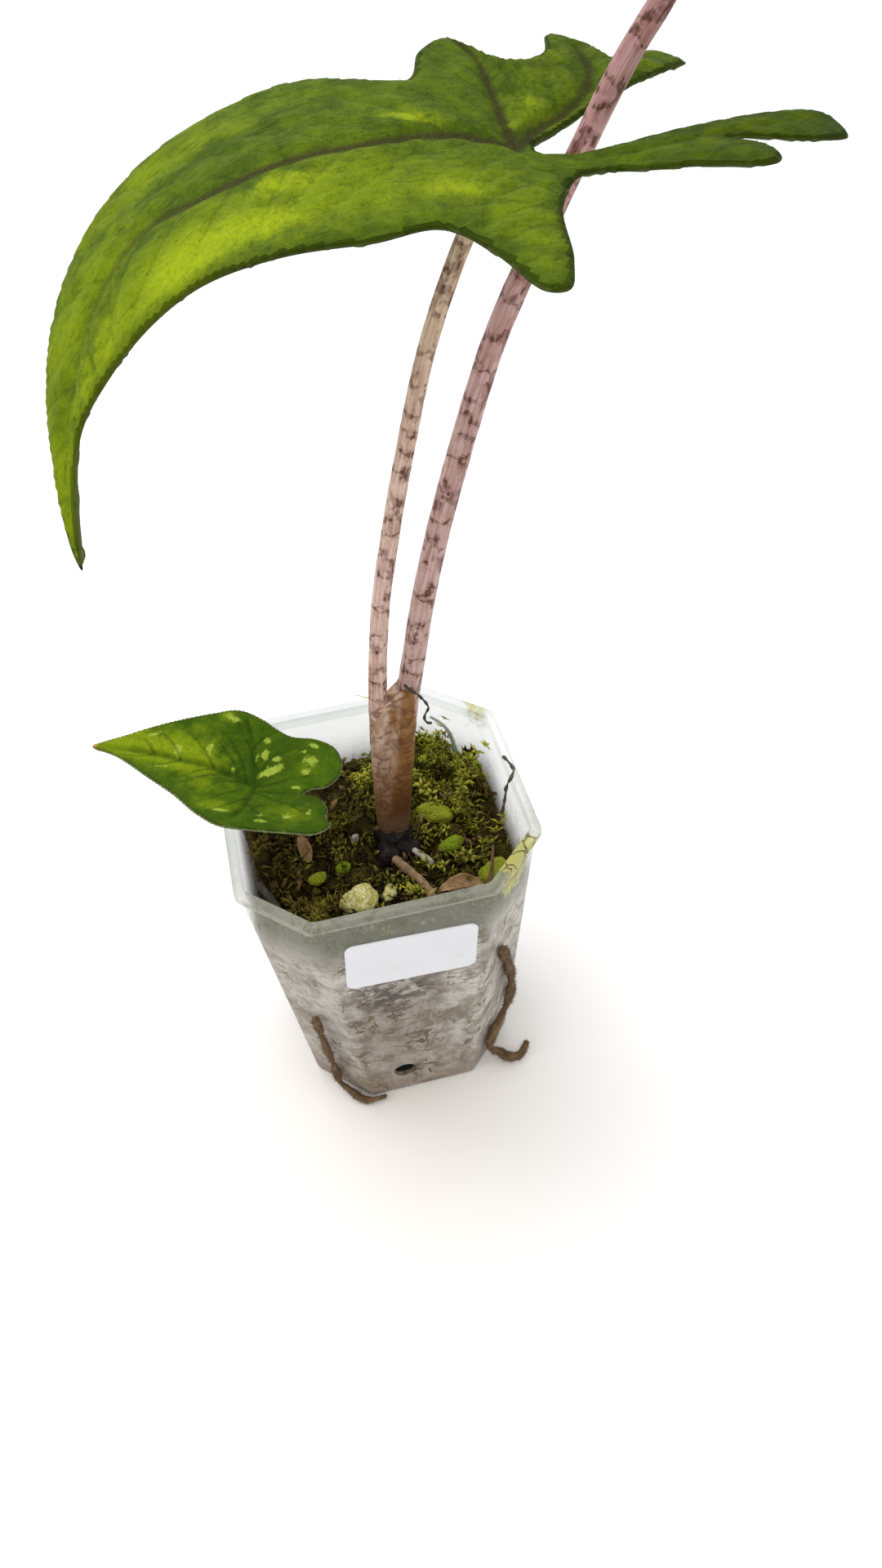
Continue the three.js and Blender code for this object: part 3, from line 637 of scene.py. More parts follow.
# %% Pot mesh
def build_pot():
    under = POT_HEIGHT - RIM_BAND
    rows = [rounded_octagon(across_at(z), chamfer_at(z), z, inset)
            for z, inset in ((0, 0.7), (0.12, 0.3), (0.5, 0.05), (1.2, 0), *((z, 0) for z in range(4, 57, 4)),
                             (under - 0.15, 0))]
    rows += [rounded_octagon(POT_RIM, RIM_CHAMFER, z, inset)
             for z, inset in ((under + 0.05, 0.35), (under + 0.25, 0.06), (under + 0.5, 0), (under + 0.95, 0),
                              (under + 1.05, 0.1), (under + 1.15, 0), (under + 1.75, 0), (under + 1.93, 0.08),
                              (POT_HEIGHT, 0.3), (POT_HEIGHT - 0.02, 1.0))]
    rows += [rounded_octagon(POT_BODY, RIM_CHAMFER, POT_HEIGHT - 0.2, POT_WALL)]
    rows += [rounded_octagon(across_at(z), chamfer_at(z), z, POT_WALL) for z in (*range(56, 3, -4), 2.2, POT_FLOOR)]
    points = np.vstack([*rows, [(0, 0, 0)], [(0, 0, POT_FLOOR)]])
    faces = stack_faces(len(rows), len(rows[0]))
    pot = show("clear_pot", closed_mesh("clear_pot", points, faces), [pot_finish])
    for side in range(4):
        turned = Matrix.Rotation(side * math.pi / 2, 3, "Z")
        wall = -across_at(DRAIN_HEIGHT) / 2
        hole = [turned @ Vector((DRAIN_OFFSET, wall + depth, DRAIN_HEIGHT)) for depth in (-3, 0, 3)]
        cutter_points, cutter_faces, _ = tube(hole, DRAIN_RADIUS, 24, 3)
        cutter = show("drain", closed_mesh("drain", cutter_points, cutter_faces), [pot_finish])
        cut = pot.modifiers.new("drain", "BOOLEAN")
        cut.object, cut.operation, cut.solver = cutter, "DIFFERENCE", "EXACT"
        graph = bpy.context.evaluated_depsgraph_get()
        pierced = bpy.data.meshes.new_from_object(pot.evaluated_get(graph), depsgraph=graph)
        pot.modifiers.clear()
        pot.data = pierced
        bpy.data.objects.remove(cutter)
    pot.data.polygons.foreach_set("use_smooth", [True] * len(pot.data.polygons))
    pot.data.set_sharp_from_angle(angle=math.radians(38))
    return register(pot, "pot_plastic", "pot")


build_pot()

# %% [markdown]
# ## The sticker
# A bare white plastic sticker with round corners, put on a little crooked. It is lofted
# from rounded rectangles, so that its edge is soft, and one corner area carries faint
# yellow stains from water.

# %% Sticker
LABEL_WIDTH, LABEL_HEIGHT, LABEL_CORNER, LABEL_THICK = 21.8, 12.3, 1.6, 0.3
LABEL_X, LABEL_Z, LABEL_TURN = 0.5, 46.0, -3.4


def sticker_finish():
    f = Finish("sticker_white", Roughness=0.42)
    spot = f.place()
    patch = f.sum_of(*(f.near(spot, middle, full, gone) * amount for middle, full, gone, amount in (
        ((8.4, -23.6, 43.2), 0.1, 1.1, 0.8), ((-2.3, -23.4, 43.9), 0.1, 1.0, 0.5),
        ((1.2, -23.3, 39.9), 0.1, 0.8, 0.7), ((9.2, -23.9, 47.0), 0.2, 1.0, 0.25))))
    stain = patch * f.step(f.cloud(spot, 0.5, 3), 0.4, 0.62)
    paper = f.blend(f.cloud(spot, 6, 2), (0.67, 0.67, 0.70), (0.73, 0.73, 0.76))
    f.give(Base_Color=f.blend(stain, paper, (0.50, 0.42, 0.20)))
    f.give(Roughness=f.cloud(spot, 1.5, 3) * 0.2 + 0.34)
    f.bump(f.cloud(spot, 0.35, 3), 0.015)
    return f


def build_sticker():
    def outline(inset, depth):
        w, h, r = LABEL_WIDTH / 2 - inset, LABEL_HEIGHT / 2 - inset, LABEL_CORNER - inset
        ring = []
        for cx, cy, first in ((w - r, -h + r, -90), (w - r, h - r, 0), (-w + r, h - r, 90), (-w + r, -h + r, 180)):
            ring += [(cx + r * math.cos(math.radians(first + a)), cy + r * math.sin(math.radians(first + a)), depth)
                     for a in np.linspace(0, 90, 9)]
        return ring

    rows = [outline(0.5, 0), outline(0.03, 0), outline(0, 0.06), outline(0, 0.22), outline(0.08, LABEL_THICK),
            outline(0.9, LABEL_THICK)]
    points = np.array(sum(rows, []) + [(0, 0, 0), (0, 0, LABEL_THICK)], float)
    lean = math.atan((POT_BODY - POT_FOOT) / 2 / POT_HEIGHT)
    turn = Matrix.Rotation(math.pi / 2 + lean, 3, "X") @ Matrix.Rotation(math.radians(LABEL_TURN), 3, "Z")
    set_in = Vector((LABEL_X, -across_at(LABEL_Z) / 2 - 0.05, LABEL_Z))
    points = np.array([turn @ Vector(p) + set_in for p in points])
    mesh = closed_mesh("bare_sticker", points, stack_faces(len(rows), len(rows[0])))
    mesh.set_sharp_from_angle(angle=math.radians(35))
    return register(show("bare_sticker", mesh, [sticker_finish()]), "label_paper", "label")


build_sticker()

# %% [markdown]
# ## The moss
# Damp moss fills the pot: dark brown-green, in soft cushions with black gaps between
# them, brighter at the tips. The bed is one closed mesh. Its top is a fine grid lifted
# by cushions of cellular noise, and its sides follow the pot. Leaflets are scattered
# over the top, and pale fibres lie against the wall, because those small shapes are
# what the eye reads as moss.

# %% Filling an outline with triangles
def distance_to_line(points, line, closed=False):
    """Nearest distance from each flat point to a line of points, and how far along it is."""
    ends = np.vstack([line, line[:1]]) if closed else line
    best, where = np.full(len(points), 1e9), np.zeros(len(points))
    for k in range(len(ends) - 1):
        a, d = ends[k], ends[k + 1] - ends[k]
        t = np.clip(((points - a) @ d) / max(d @ d, 1e-12), 0, 1)
        away = np.linalg.norm(points - a - t[:, None] * d, axis=1)
        closer = away < best
        best[closer], where[closer] = away[closer], (k + t[closer]) / (len(ends) - 1)
    return best, where


def inside(points, rim):
    x, y = points[:, 0][:, None], points[:, 1][:, None]
    x1, y1 = rim[:, 0], rim[:, 1]
    x2, y2 = np.roll(x1, -1), np.roll(y1, -1)
    crosses = ((y1 > y) != (y2 > y)) & (x < (x2 - x1) * (y - y1) / np.where(y2 == y1, 1e-12, y2 - y1) + x1)
    return crosses.sum(1) % 2 == 1


def fill(rim, cell):
    """Points and triangles inside a flat outline. The rim's own points come first."""
    low, high = rim.min(0), rim.max(0)
    rows = np.arange(low[1], high[1], cell * 0.866)
    grid = np.array([(x + (i % 2) * cell / 2, y) for i, y in enumerate(rows) for x in np.arange(low[0], high[0], cell)])
    grid = grid[inside(grid, rim)]
    grid = grid[distance_to_line(grid, rim, True)[0] > 0.5 * cell]
    points = np.vstack([rim, grid])
    made = delaunay_2d_cdt([Vector(p) for p in points], [], [list(range(len(rim)))], 1, 1e-7, False)
    points, triangles = np.array([tuple(p) for p in made[0]]), np.array(made[2])
    middle = points[triangles].mean(axis=1)
    return points, [tuple(t) for t in triangles[inside(middle, rim)]]

# %% [markdown]
# The soil line isn't flat. It rises in a mound behind the stems, sinks into a well in
# front of them, and stays under the rim. A plane would show at once, so two slow waves
# and two bumps give its level, and the cushions are laid on that. The first numbers are
# the level, the rounded shoulder at the wall and the highest point, all in millimetres.

# %% Moss level
MOSS_LEVEL, MOSS_SHOULDER, MOSS_TOP = 49.6, 1.3, 54.5
MOSS_GAP, MOSS_GRID, MOSS_ROUND, MOSS_RINGS = 0.3, 0.5, 280, 37
CUSHION_SIZE, CUSHION_RELIEF, FINE_RELIEF = 5.6, 3.0, 1.1
FIBRES_FROM, FIBRES_TO = 7, 46


def moss_height(x, y):
    mound = 1.3 * np.cos(x / 9 + 0.4) + 1.1 * np.cos(y / 8 - 0.7)
    back = 2.2 * np.exp(-((x - 13) ** 2 + (y - 16) ** 2) / 90)
    well = -2.4 * np.exp(-((x - 4) ** 2 + (y + 3) ** 2) / 45)
    return MOSS_LEVEL + mound * 0.7 + back + well


print("moss at the middle", round(float(moss_height(0, 0)), 2), "mm")

# %% [markdown]
# Moss is nearly black in its gaps, olive on its cushions and yellow-green at its
# tips. One colour with noise on it looks like paint, so the bed takes its colour from
# how far each point stands up, and its dark gaps are painted shade. Every leaflet has its
# own colour from its foot to its tip, and painted shade darkens it where it lies low, at
# its foot and in the hollows. The side that lies against the plastic is packed brown and
# grey, with dark blots, and dark spots of painted shade behind the drain holes.

# %% Moss finishes
def moss_finish():
    f = Finish("damp_moss", Roughness=0.9, Specular_IOR_Level=0.1)
    spot = f.place()
    lift = f.attribute("lift")
    side = f.attribute("side")
    tint = f.cloud(spot, 6, 4, 0.6)
    speck = f.cloud(spot, 0.7, 4, 0.7)
    deep = f.blend(f.step(speck, 0.3, 0.7), (0.010, 0.006, 0.002), (0.045, 0.028, 0.008))
    olive = f.blend(f.step(tint, 0.42, 0.62), (0.085, 0.055, 0.012), (0.12, 0.12, 0.010))
    # Painted shade: the bed goes nearly black where it lies low and olive where it stands up.
    top = f.blend(f.clip(lift * 1.1 + (speck - 0.5) * 0.9), deep, olive)
    strands = f.cloud(f.place((0.35, 0.35, 1.3), (0.7, 0.4, 0.2)), 1.0, 4, 0.65, 1.5)
    blot = f.step(f.cloud(f.place((1, 1, 0.8), shift=(3, 1, 7)), 7.5, 5, 0.62, 0.6), 0.5, 0.64)
    packed = f.blend(f.step(strands, 0.35, 0.7), (0.16, 0.13, 0.095), (0.46, 0.42, 0.36))
    packed = f.blend(blot * 0.75, packed, (0.05, 0.038, 0.025))
    # Painted shade: the moss behind each drain hole is made nearly black.
    drain = f.sum_of(*(f.near(spot, (x, y, DRAIN_HEIGHT), 2.2, 3.0) for x, y in BEHIND_DRAINS))
    packed = f.blend(f.clip(drain), packed, (0.012, 0.014, 0.016))
    f.give(Base_Color=f.blend(side, top, packed))
    f.bump(f.sum_of(speck, f.cloud(spot, 0.25, 3) * 0.5), 0.4)
    return f


def leaflet_finish(name, root, dark, mid, bright):
    """Moss leaves: tone picks each leaf's own colour, brown at its root and bright at its tip, and painted shade
    darkens the low leaves, their roots and the hollows.
    """
    f = Finish(name, Roughness=0.65, Specular_IOR_Level=0.12)
    tone, lift, tip = f.attribute("tone"), f.attribute("lift"), f.attribute("tip")
    vein = f.cloud(f.place(), 0.35, 2)
    patch = f.cloud(f.place(), 4.5, 2)
    x = f.axis(f.place(), "X")
    left, right = f.step(x, 0, -14), f.step(x, 2, 20)
    leaf = f.node("ShaderNodeValToRGB", {"stops": [(0.12, root), (0.36, dark), (0.62, mid), (0.95, bright)]},
                  {"Fac": f.sum_of(tone * 0.45, vein * 0.2, patch * 1.3, tip * 0.34, right * 0.14) - 0.58})
    leaf = f.blend(left * 0.45, leaf, (0.27, 0.165, 0.030))
    # Painted shade: darker where the moss lies low, at each leaf's root and in the hollows, less on the right.
    shade = f.step(f.sum_of(lift * 0.8, tip * 0.65, right * 0.2), 0.18, 0.95)
    f.give(Base_Color=f.blend(shade, (0.022, 0.014, 0.005), leaf))
    f.bump(vein, 0.05)
    return f


def fibre_finish():
    f = Finish("packed_fibre", Roughness=0.8)
    tone = f.attribute("tone")
    f.give(Base_Color=f.node("ShaderNodeValToRGB", {"stops": [
        (0.0, (0.06, 0.04, 0.025)), (0.3, (0.16, 0.12, 0.08)), (0.6, (0.42, 0.38, 0.31)), (1.0, (0.62, 0.6, 0.55))]},
        {"Fac": tone * 0.8 + f.cloud(f.place(), 2, 3) * 0.4 - 0.1}))
    f.bump(f.cloud(f.place(), 0.2, 2), 0.05)
    return f


damp_moss = moss_finish()
olive_leaflet, green_leaflet, brown_leaflet = (leaflet_finish(*row) for row in (
    ("olive_moss_leaf", (0.07, 0.035, 0.010), (0.075, 0.06, 0.008), (0.17, 0.165, 0.012), (0.50, 0.48, 0.06)),
    ("green_moss_leaf", (0.05, 0.035, 0.008), (0.075, 0.085, 0.008), (0.19, 0.23, 0.012), (0.48, 0.52, 0.06)),
    ("dead_moss_leaf", (0.035, 0.016, 0.006), (0.10, 0.05, 0.02), (0.22, 0.125, 0.055), (0.40, 0.28, 0.14))))
packed_fibre = fibre_finish()
print("moss finishes ready")

# %% [markdown]
# Grains, small cushions and the rhizome are sunk into the moss. Their middles, half
# sizes and turns are the frame's own, so they are written once, as tables, before the
# bed: the moss has to leave them bare, and the lumps further down are made from them.

# %% What lies on the moss
GRAINS = {
    "grain_front": ((-5.8, -13.2, 50.6), (3.3, 2.2, 2.3), 10),
    "grain_right_back": ((10.8, 2.6, 50.6), (2.9, 2.1, 1.9), -35),
    "grain_right": ((11.7, -5.1, 50.0), (2.2, 1.5, 1.4), 20),
    "grain_left": ((-7.1, -5.0, 50.0), (1.2, 1.1, 1.1), 0),
    "grain_far_left": ((-11.7, -6.2, 50.0), (1.8, 1.0, 1.0), 15),
    "grain_corner": ((17.4, -13.6, 50.0), (3.0, 2.5, 2.2), 30),
    "grain_small": ((-0.6, -12.6, 50.0), (1.5, 1.1, 1.1), 60),
    "grain_pale": ((-3.9, 1.2, 49.9), (0.9, 0.7, 0.9), 40),
}
CLUMPS = {
    "moss_clump_back": ((12.4, 17.4, 50.6), (4.6, 3.0, 3.0), -20),
    "moss_clump_side": ((18.4, 10.2, 50.2), (2.8, 4.2, 3.0), 10),
    "moss_clump_front": ((-14.6, -13.4, 49.4), (3.2, 2.2, 2.2), 40),
}
RHIZOME = [((3.0, 1.0, 48.6), (3.6, 3.0, 2.9), 0), ((1.0, -2.6, 48.2), (2.6, 2.4, 2.3), 20),
           ((4.6, -2.4, 48.4), (2.5, 2.2, 2.2), -30)]
print(len(GRAINS), "grains and", len(CLUMPS), "moss cushions")

# %% [markdown]
# The bed could be a plane with a displacement, but a piece needs a closed shape and a
# side that shows through the pot. So its top is a fine triangle grid inside the pot's
# outline, its side follows the wall in rings, and maps on its points say where moss
# grows, where it is brightest and where fibres lie against the plastic.

# %% Moss bed
# Painted shade in hollows between the cushions: x, y and reach.
SHADED_HOLLOWS = [(0.5, -7.5, 4.5), (15, -9, 5.5), (-5, 1, 4.0), (-1, 6, 3.5), (8, -13, 3.0)]


def build_moss():
    inset = POT_WALL + MOSS_GAP
    edge = MOSS_LEVEL - MOSS_SHOULDER
    shoulder = rounded_octagon(across_at(edge), chamfer_at(edge), edge, inset, 1.4, 4, 1)
    rim, _ = even_steps(np.vstack([shoulder, shoulder[:1]])[:, :2], MOSS_ROUND + 1)
    rim = rim[:-1]
    flat, triangles = fill(rim, MOSS_GRID)
    from_wall = distance_to_line(flat, rim, True)[0]
    lifted = np.column_stack([flat, moss_height(flat[:, 0], flat[:, 1])])
    spot3 = np.column_stack([flat, np.zeros(len(flat))])
    cushion = puffs(spot3, CUSHION_SIZE, 4.0)
    fine = rough(spot3, 2.0, 2.0, 4)
    inward = np.clip(from_wall / 1.2, 0, 1)
    lifted[:, 2] += (CUSHION_RELIEF * (cushion - 0.6) + FINE_RELIEF * fine) * (0.25 + 0.75 * inward)
    lifted[:, 2] = np.minimum(lifted[:, 2], MOSS_TOP)
    lifted[:, 2] = edge * (1 - inward) + lifted[:, 2] * inward
    n = len(rim)
    heights = np.linspace(edge, POT_FLOOR + MOSS_GAP, MOSS_RINGS + 1)[1:]
    walls = []
    for z in heights:
        ring = rounded_octagon(across_at(z), chamfer_at(z), z, inset, 1.4, 4, 1)
        walls.append(even_steps(np.vstack([ring, ring[:1]])[:, :2], n + 1)[0][:-1])
    walls = [np.column_stack([w, np.full(n, z)]) for w, z in zip(walls, heights)]
    wall = np.vstack(walls)
    pull = 1 - 0.012 * np.clip(rough(wall, 2.2, 9.0, 3) + 0.4, 0, 1)
    wall[:, :2] *= pull[:, None]
    points = np.vstack([lifted, wall, [(0, 0, POT_FLOOR + MOSS_GAP)]])
    faces = [tuple(reversed(t)) for t in triangles]
    loops = [np.arange(n)] + [len(lifted) + r * n + np.arange(n) for r in range(len(walls))]
    for upper, lower in zip(loops, loops[1:]):
        faces += [(upper[k], upper[(k + 1) % n], lower[(k + 1) % n], lower[k]) for k in range(n)]
    faces += [(loops[-1][k], loops[-1][(k + 1) % n], len(points) - 1) for k in range(n)]
    zeros = np.zeros(len(points))
    lift, side, grows, lies = zeros.copy(), zeros.copy(), zeros.copy(), zeros.copy()
    lift[:len(flat)] = np.clip(cushion * 0.8 + fine * 0.5, 0, 1)
    # The hollows lower lift, which paints shade there on the bed and its leaflets.
    for x, y, reach in SHADED_HOLLOWS:
        lift[:len(flat)] *= 1 - 0.8 * np.exp(-((flat[:, 0] - x) ** 2 + (flat[:, 1] - y) ** 2) / reach**2)
    side[len(flat):] = 1
    side[:n] = 1
    green = np.exp(-((flat[:, 0] - 10) ** 2 + (flat[:, 1] - 15) ** 2) / 120)
    grows[:len(flat)] = np.clip(0.15 + cushion * 1.1, 0, 1) * np.clip(from_wall / 2, 0.12, 1)
    for middle, half, _ in [*GRAINS.values(), *RHIZOME]:
        away = np.hypot(flat[:, 0] - middle[0], flat[:, 1] - middle[1])
        grows[:len(flat)] *= np.clip((away - 0.4 * max(half)) / 3.2, 0, 1)
    grows[:len(flat)] *= np.where((flat[:, 0] < 6) & (flat[:, 1] > 13), 0.4, 1)
    lies[len(flat):] = (points[len(flat):, 2] > FIBRES_FROM) & (points[len(flat):, 2] < FIBRES_TO)
    tuft = zeros.copy()
    beside_tendril = np.clip(np.hypot(flat[:, 0] - 17, flat[:, 1] - 13.5) / 4 - 0.6, 0, 1)
    tuft[:len(flat)] = (np.clip(green * 1.6 - 0.4, 0, 1) * np.clip(cushion * 1.6, 0, 1) * beside_tendril
                        * np.clip(from_wall / 3, 0, 1))
    return closed_mesh("moss_in_pot", points, faces, {
        "lift": lift, "side": side, "grows": grows, "lies": lies, "tuft": tuft})


moss_branch = feather("moss_branch", 5, 5.4, 1.7, 0.8)
moss_scrap = sprig("moss_scrap", 2.6, 1.5, 1.1, 3)
moss_leaf = sprig("moss_leaf", 2.8, 1.15, 1.2, 3)
moss_thread = sprig("moss_thread", 4.5, 0.2, 2.4, 3)
moss_head = rosette("moss_head", 13, 3.0, 1.0, 1.1)
wall_fibre = sprig("wall_fibre", 5.0, 0.22, 0.3, 2)


def lay_down(shape):
    """Tips a standing sprig over, so that it lies on the surface it grows on."""
    shape.data.transform(Matrix.Rotation(-math.pi / 2, 4, "X"))


WALL_SLACK = 0.15


def keep_inside_pot(thing):
    """Moves any point of a piece that would poke through the pot's inner wall back to that wall."""
    p = points_of(thing) / MM
    half = across_at(p[:, 2]) / 2 - POT_WALL - WALL_SLACK
    cut = (across_at(p[:, 2]) - chamfer_at(p[:, 2])) / math.sqrt(2) - POT_WALL - WALL_SLACK
    x, y = abs(p[:, 0]), abs(p[:, 1])
    over = np.maximum.reduce([x / half, y / half, (x + y) / math.sqrt(2) / cut, np.ones(len(p))])
    p[:, :2] /= over[:, None]
    move_points(thing, p * MM)
    print(f"  {thing.name}: {int((over > 1).sum())} points kept inside the pot")


lay_down(wall_fibre)
moss_in_pot = show("moss_in_pot", build_moss(),
                   [damp_moss, olive_leaflet, green_leaflet, brown_leaflet, packed_fibre])
UPRIGHT, LEANING, SPRAWLING, FLAT = (0.35, 0.35, 3.1), (0.7, 0.7, 3.1), (1.3, 1.3, 3.1), (0.03, 0.03, 3.1)
for shape, finish, per_mm2, where, sizes, lean, seed in (
    (moss_head, olive_leaflet, 0.11, "grows", (0.45, 1.1), LEANING, 3),
    (moss_head, green_leaflet, 0.25, "tuft", (0.5, 1.1), LEANING, 5),
    (moss_leaf, olive_leaflet, 0.45, "grows", (0.3, 1.1), SPRAWLING, 7),
    (moss_scrap, brown_leaflet, 0.10, "grows", (0.5, 1.3), SPRAWLING, 6),
    (moss_thread, brown_leaflet, 0.06, "grows", (0.5, 1.2), (1.4, 1.4, 3.1), 8),
    (moss_branch, olive_leaflet, 0.05, "grows", (0.6, 1.4), UPRIGHT, 9),
    (moss_branch, green_leaflet, 0.045, "tuft", (0.6, 1.1), (0.25, 0.25, 3.1), 10),
    (wall_fibre, packed_fibre, 0.08, "lies", (0.3, 1.1), FLAT, 11),
):
    grow(moss_in_pot, shape, finish, per_mm2=per_mm2, where=where, sizes=sizes, lean=lean, seed=seed)
keep_inside_pot(moss_in_pot)
register(moss_in_pot, "moss", "moss_bed")

# %% [markdown]
# ## Lumps: grains, rhizome and green cushions
# Grains of baked mineral are pitted and pale with a green film of algae. The rhizome is
# a dark knobbly corm. All start as a dense ball, pushed by the same slow waves as the
# CAD lumps, and then pitted by cellular noise.

# %% Lump mesh
BALL_DETAIL, FINE_GRAIN = 5, 0.03


def ball(subdivisions):
    built = bmesh.new()
    bmesh.ops.create_icosphere(built, subdivisions=subdivisions, radius=1)
    points = np.array([v.co for v in built.verts])
    faces = [tuple(v.index for v in f.verts) for f in built.faces]
    built.free()
    return points, faces


def lump(middle, half, turn, pits=0.05, coarse=0.17, pit_size=0.4):
    points, faces = ball(BALL_DETAIL)
    wave = (1 + 0.07 * np.sin(3 * points[:, 0] + middle[0])) * (1 + 0.07 * np.sin(4 * points[:, 1] + middle[1]))
    shift = middle[0] + middle[1]
    relief = coarse * rough(points, 0.8, shift, 2) + FINE_GRAIN * rough(points, 0.16, shift, 3)
    relief += pits * (puffs(points, pit_size, shift) - 0.6)
    points = points * (wave * (1 + relief))[:, None] * np.array(half)
    spin = Matrix.Rotation(math.radians(turn), 3, "Z")
    return np.array([spin @ Vector(p) for p in points]) + np.array(middle), faces, relief

# %% [markdown]
# A grain's colour tells what has happened to it: dry ones are cream or white, and those
# in the wet have a film of algae that starts in their pits. One finish with two colours
# and a threshold covers all of them. The moss cushions are the same lump with deeper
# pits and moss heads on it, and the rhizome is three lumps that grew into each other.

# %% Lump finishes and pieces
def grain_finish(name, pale, film, cover):
    """Baked mineral grain: pale where it is dry, yellow-green where algae cover it."""
    f = Finish(name, Roughness=0.85, Specular_IOR_Level=0.15)
    spot = f.place()
    pit = f.cells(spot, 0.45, "F1")
    algae = f.step(f.sum_of(f.cloud(spot, 1.6, 4, 0.6), pit * 0.25), cover - 0.16, cover + 0.16)
    body = f.blend(algae, pale, film)
    f.give(Base_Color=f.blend(f.step(pit, 0.3, 0.7) * 0.3, body, (0.18, 0.16, 0.02)))
    f.bump(f.sum_of(pit, f.cloud(spot, 0.22, 3) * 0.6), 0.25)
    return f


cream_grain, green_grain, lime_grain, white_grain = (grain_finish(*row) for row in (
    ("cream_grain", (0.88, 0.80, 0.42), (0.60, 0.56, 0.16), 0.62),
    ("algae_grain", (0.42, 0.42, 0.07), (0.26, 0.31, 0.015), 0.46),
    ("lime_grain", (0.34, 0.42, 0.03), (0.19, 0.30, 0.010), 0.46),
    ("white_grain", (0.66, 0.65, 0.62), (0.5, 0.5, 0.42), 0.7)))
GRAIN_FINISH = {"grain_front": cream_grain, "grain_right_back": green_grain, "grain_right": lime_grain,
                "grain_left": lime_grain, "grain_far_left": green_grain, "grain_corner": green_grain,
                "grain_small": cream_grain, "grain_pale": white_grain}

for node, (middle, half, turn) in GRAINS.items():
    points, faces, _ = lump(middle, half, turn)
    register(show(f"pitted_{node}", closed_mesh(node, points, faces), [GRAIN_FINISH[node]]), "mineral_grain", node)

for node, (middle, half, turn) in CLUMPS.items():
    points, faces, relief = lump(middle, half, turn, pits=0.22, coarse=0.16, pit_size=0.75)
    # lift is low in the pits, and paints shade there on the cushion and its moss heads.
    lift = np.clip(0.55 + relief * 2.2, 0, 1)
    room = across_at(points[:, 2]) / 2 - POT_WALL - np.abs(points[:, :2]).max(1)
    mesh = closed_mesh(node, points, faces, {"lift": lift, "grows": np.clip(room / 2.5, 0, 1)})
    cushion = show(f"cushion_{node[11:]}", mesh, [damp_moss, green_leaflet, olive_leaflet])
    leaf = olive_leaflet if node == "moss_clump_front" else green_leaflet
    grow(cushion, moss_head, leaf, per_mm2=0.4, where="grows", sizes=(0.4, 0.8), lean=(0.6, 0.6, 3.1),
         seed=len(node))
    keep_inside_pot(cushion)
    register(cushion, "moss_green", node)


def rhizome_finish():
    f = Finish("dark_corm", Roughness=0.5, Specular_IOR_Level=0.25)
    spot = f.place()
    rings = f.cloud(f.place((1, 1, 3)), 1.4, 4, 0.6, 0.8)
    f.give(Base_Color=f.blend(f.step(rings, 0.45, 0.75), (0.008, 0.004, 0.005), (0.040, 0.024, 0.020)))
    f.give(Roughness=f.cloud(spot, 1.0, 3) * 0.5 + 0.25)
    f.bump(f.sum_of(rings, f.cloud(spot, 0.3, 3) * 0.4), 0.3)
    return f


corm = [lump(middle, half, turn, coarse=0.12, pit_size=1.2) for middle, half, turn in RHIZOME]
starts = np.cumsum([0] + [len(points) for points, _, _ in corm])
corm_mesh = closed_mesh("dark_corm", np.vstack([points for points, _, _ in corm]),
                        [tuple(i + start for i in f) for (_, faces, _), start in zip(corm, starts) for f in faces])
register(show("dark_corm", corm_mesh, [rhizome_finish()]), "rhizome", "rhizome")

# %% [markdown]
# ## The leaf stalks
# Each petiole is a round stalk, whitish pink with fine lengthwise lines and ragged
# dark-brown marks across it, the mark of this plant. The shape is a tube along the
# measured path. The finish works in the stalk's own coordinates (round it and along
# it), which the tube stores on every point, so the marks wrap without a seam.

# %% Petiole paths
LEFT_PATH = [(2.1, 1.2, 51.2), (2.1, -0.9, 67.3), (2.4, -2.8, 79.4), (3.1, -4.5, 91), (4.6, -6.5, 104.5),
             (6.6, -8.2, 115.6), (8.6, -9.7, 125.4), (12.8, -12.2, 142.3), (18.3, -14.2, 155.6), (21.4, -14.8, 159.6)]
RIGHT_PATH = [(3.9, 1.4, 51), (5.3, -0.3, 65.7), (6.9, -1.9, 79.2), (8.6, -3.1, 89.4), (10.8, -4.6, 101.8),
              (13.3, -5.9, 112.8), (15.9, -7.1, 122.6), (21.2, -9.1, 139.6), (27.3, -10.7, 152.8), (33.9, -12.3, 166),
              (37.6, -13, 171.7), (43.2, -13, 180), (49, -12.2, 187.5)]
SMALL_PATH = [(-8.4, 9.2, 46.5), (-9.4, 8.8, 51.5), (-12.6, 7.2, 57.5), (-16, 3.8, 62.6), (-17.7, 1.2, 65.7)]


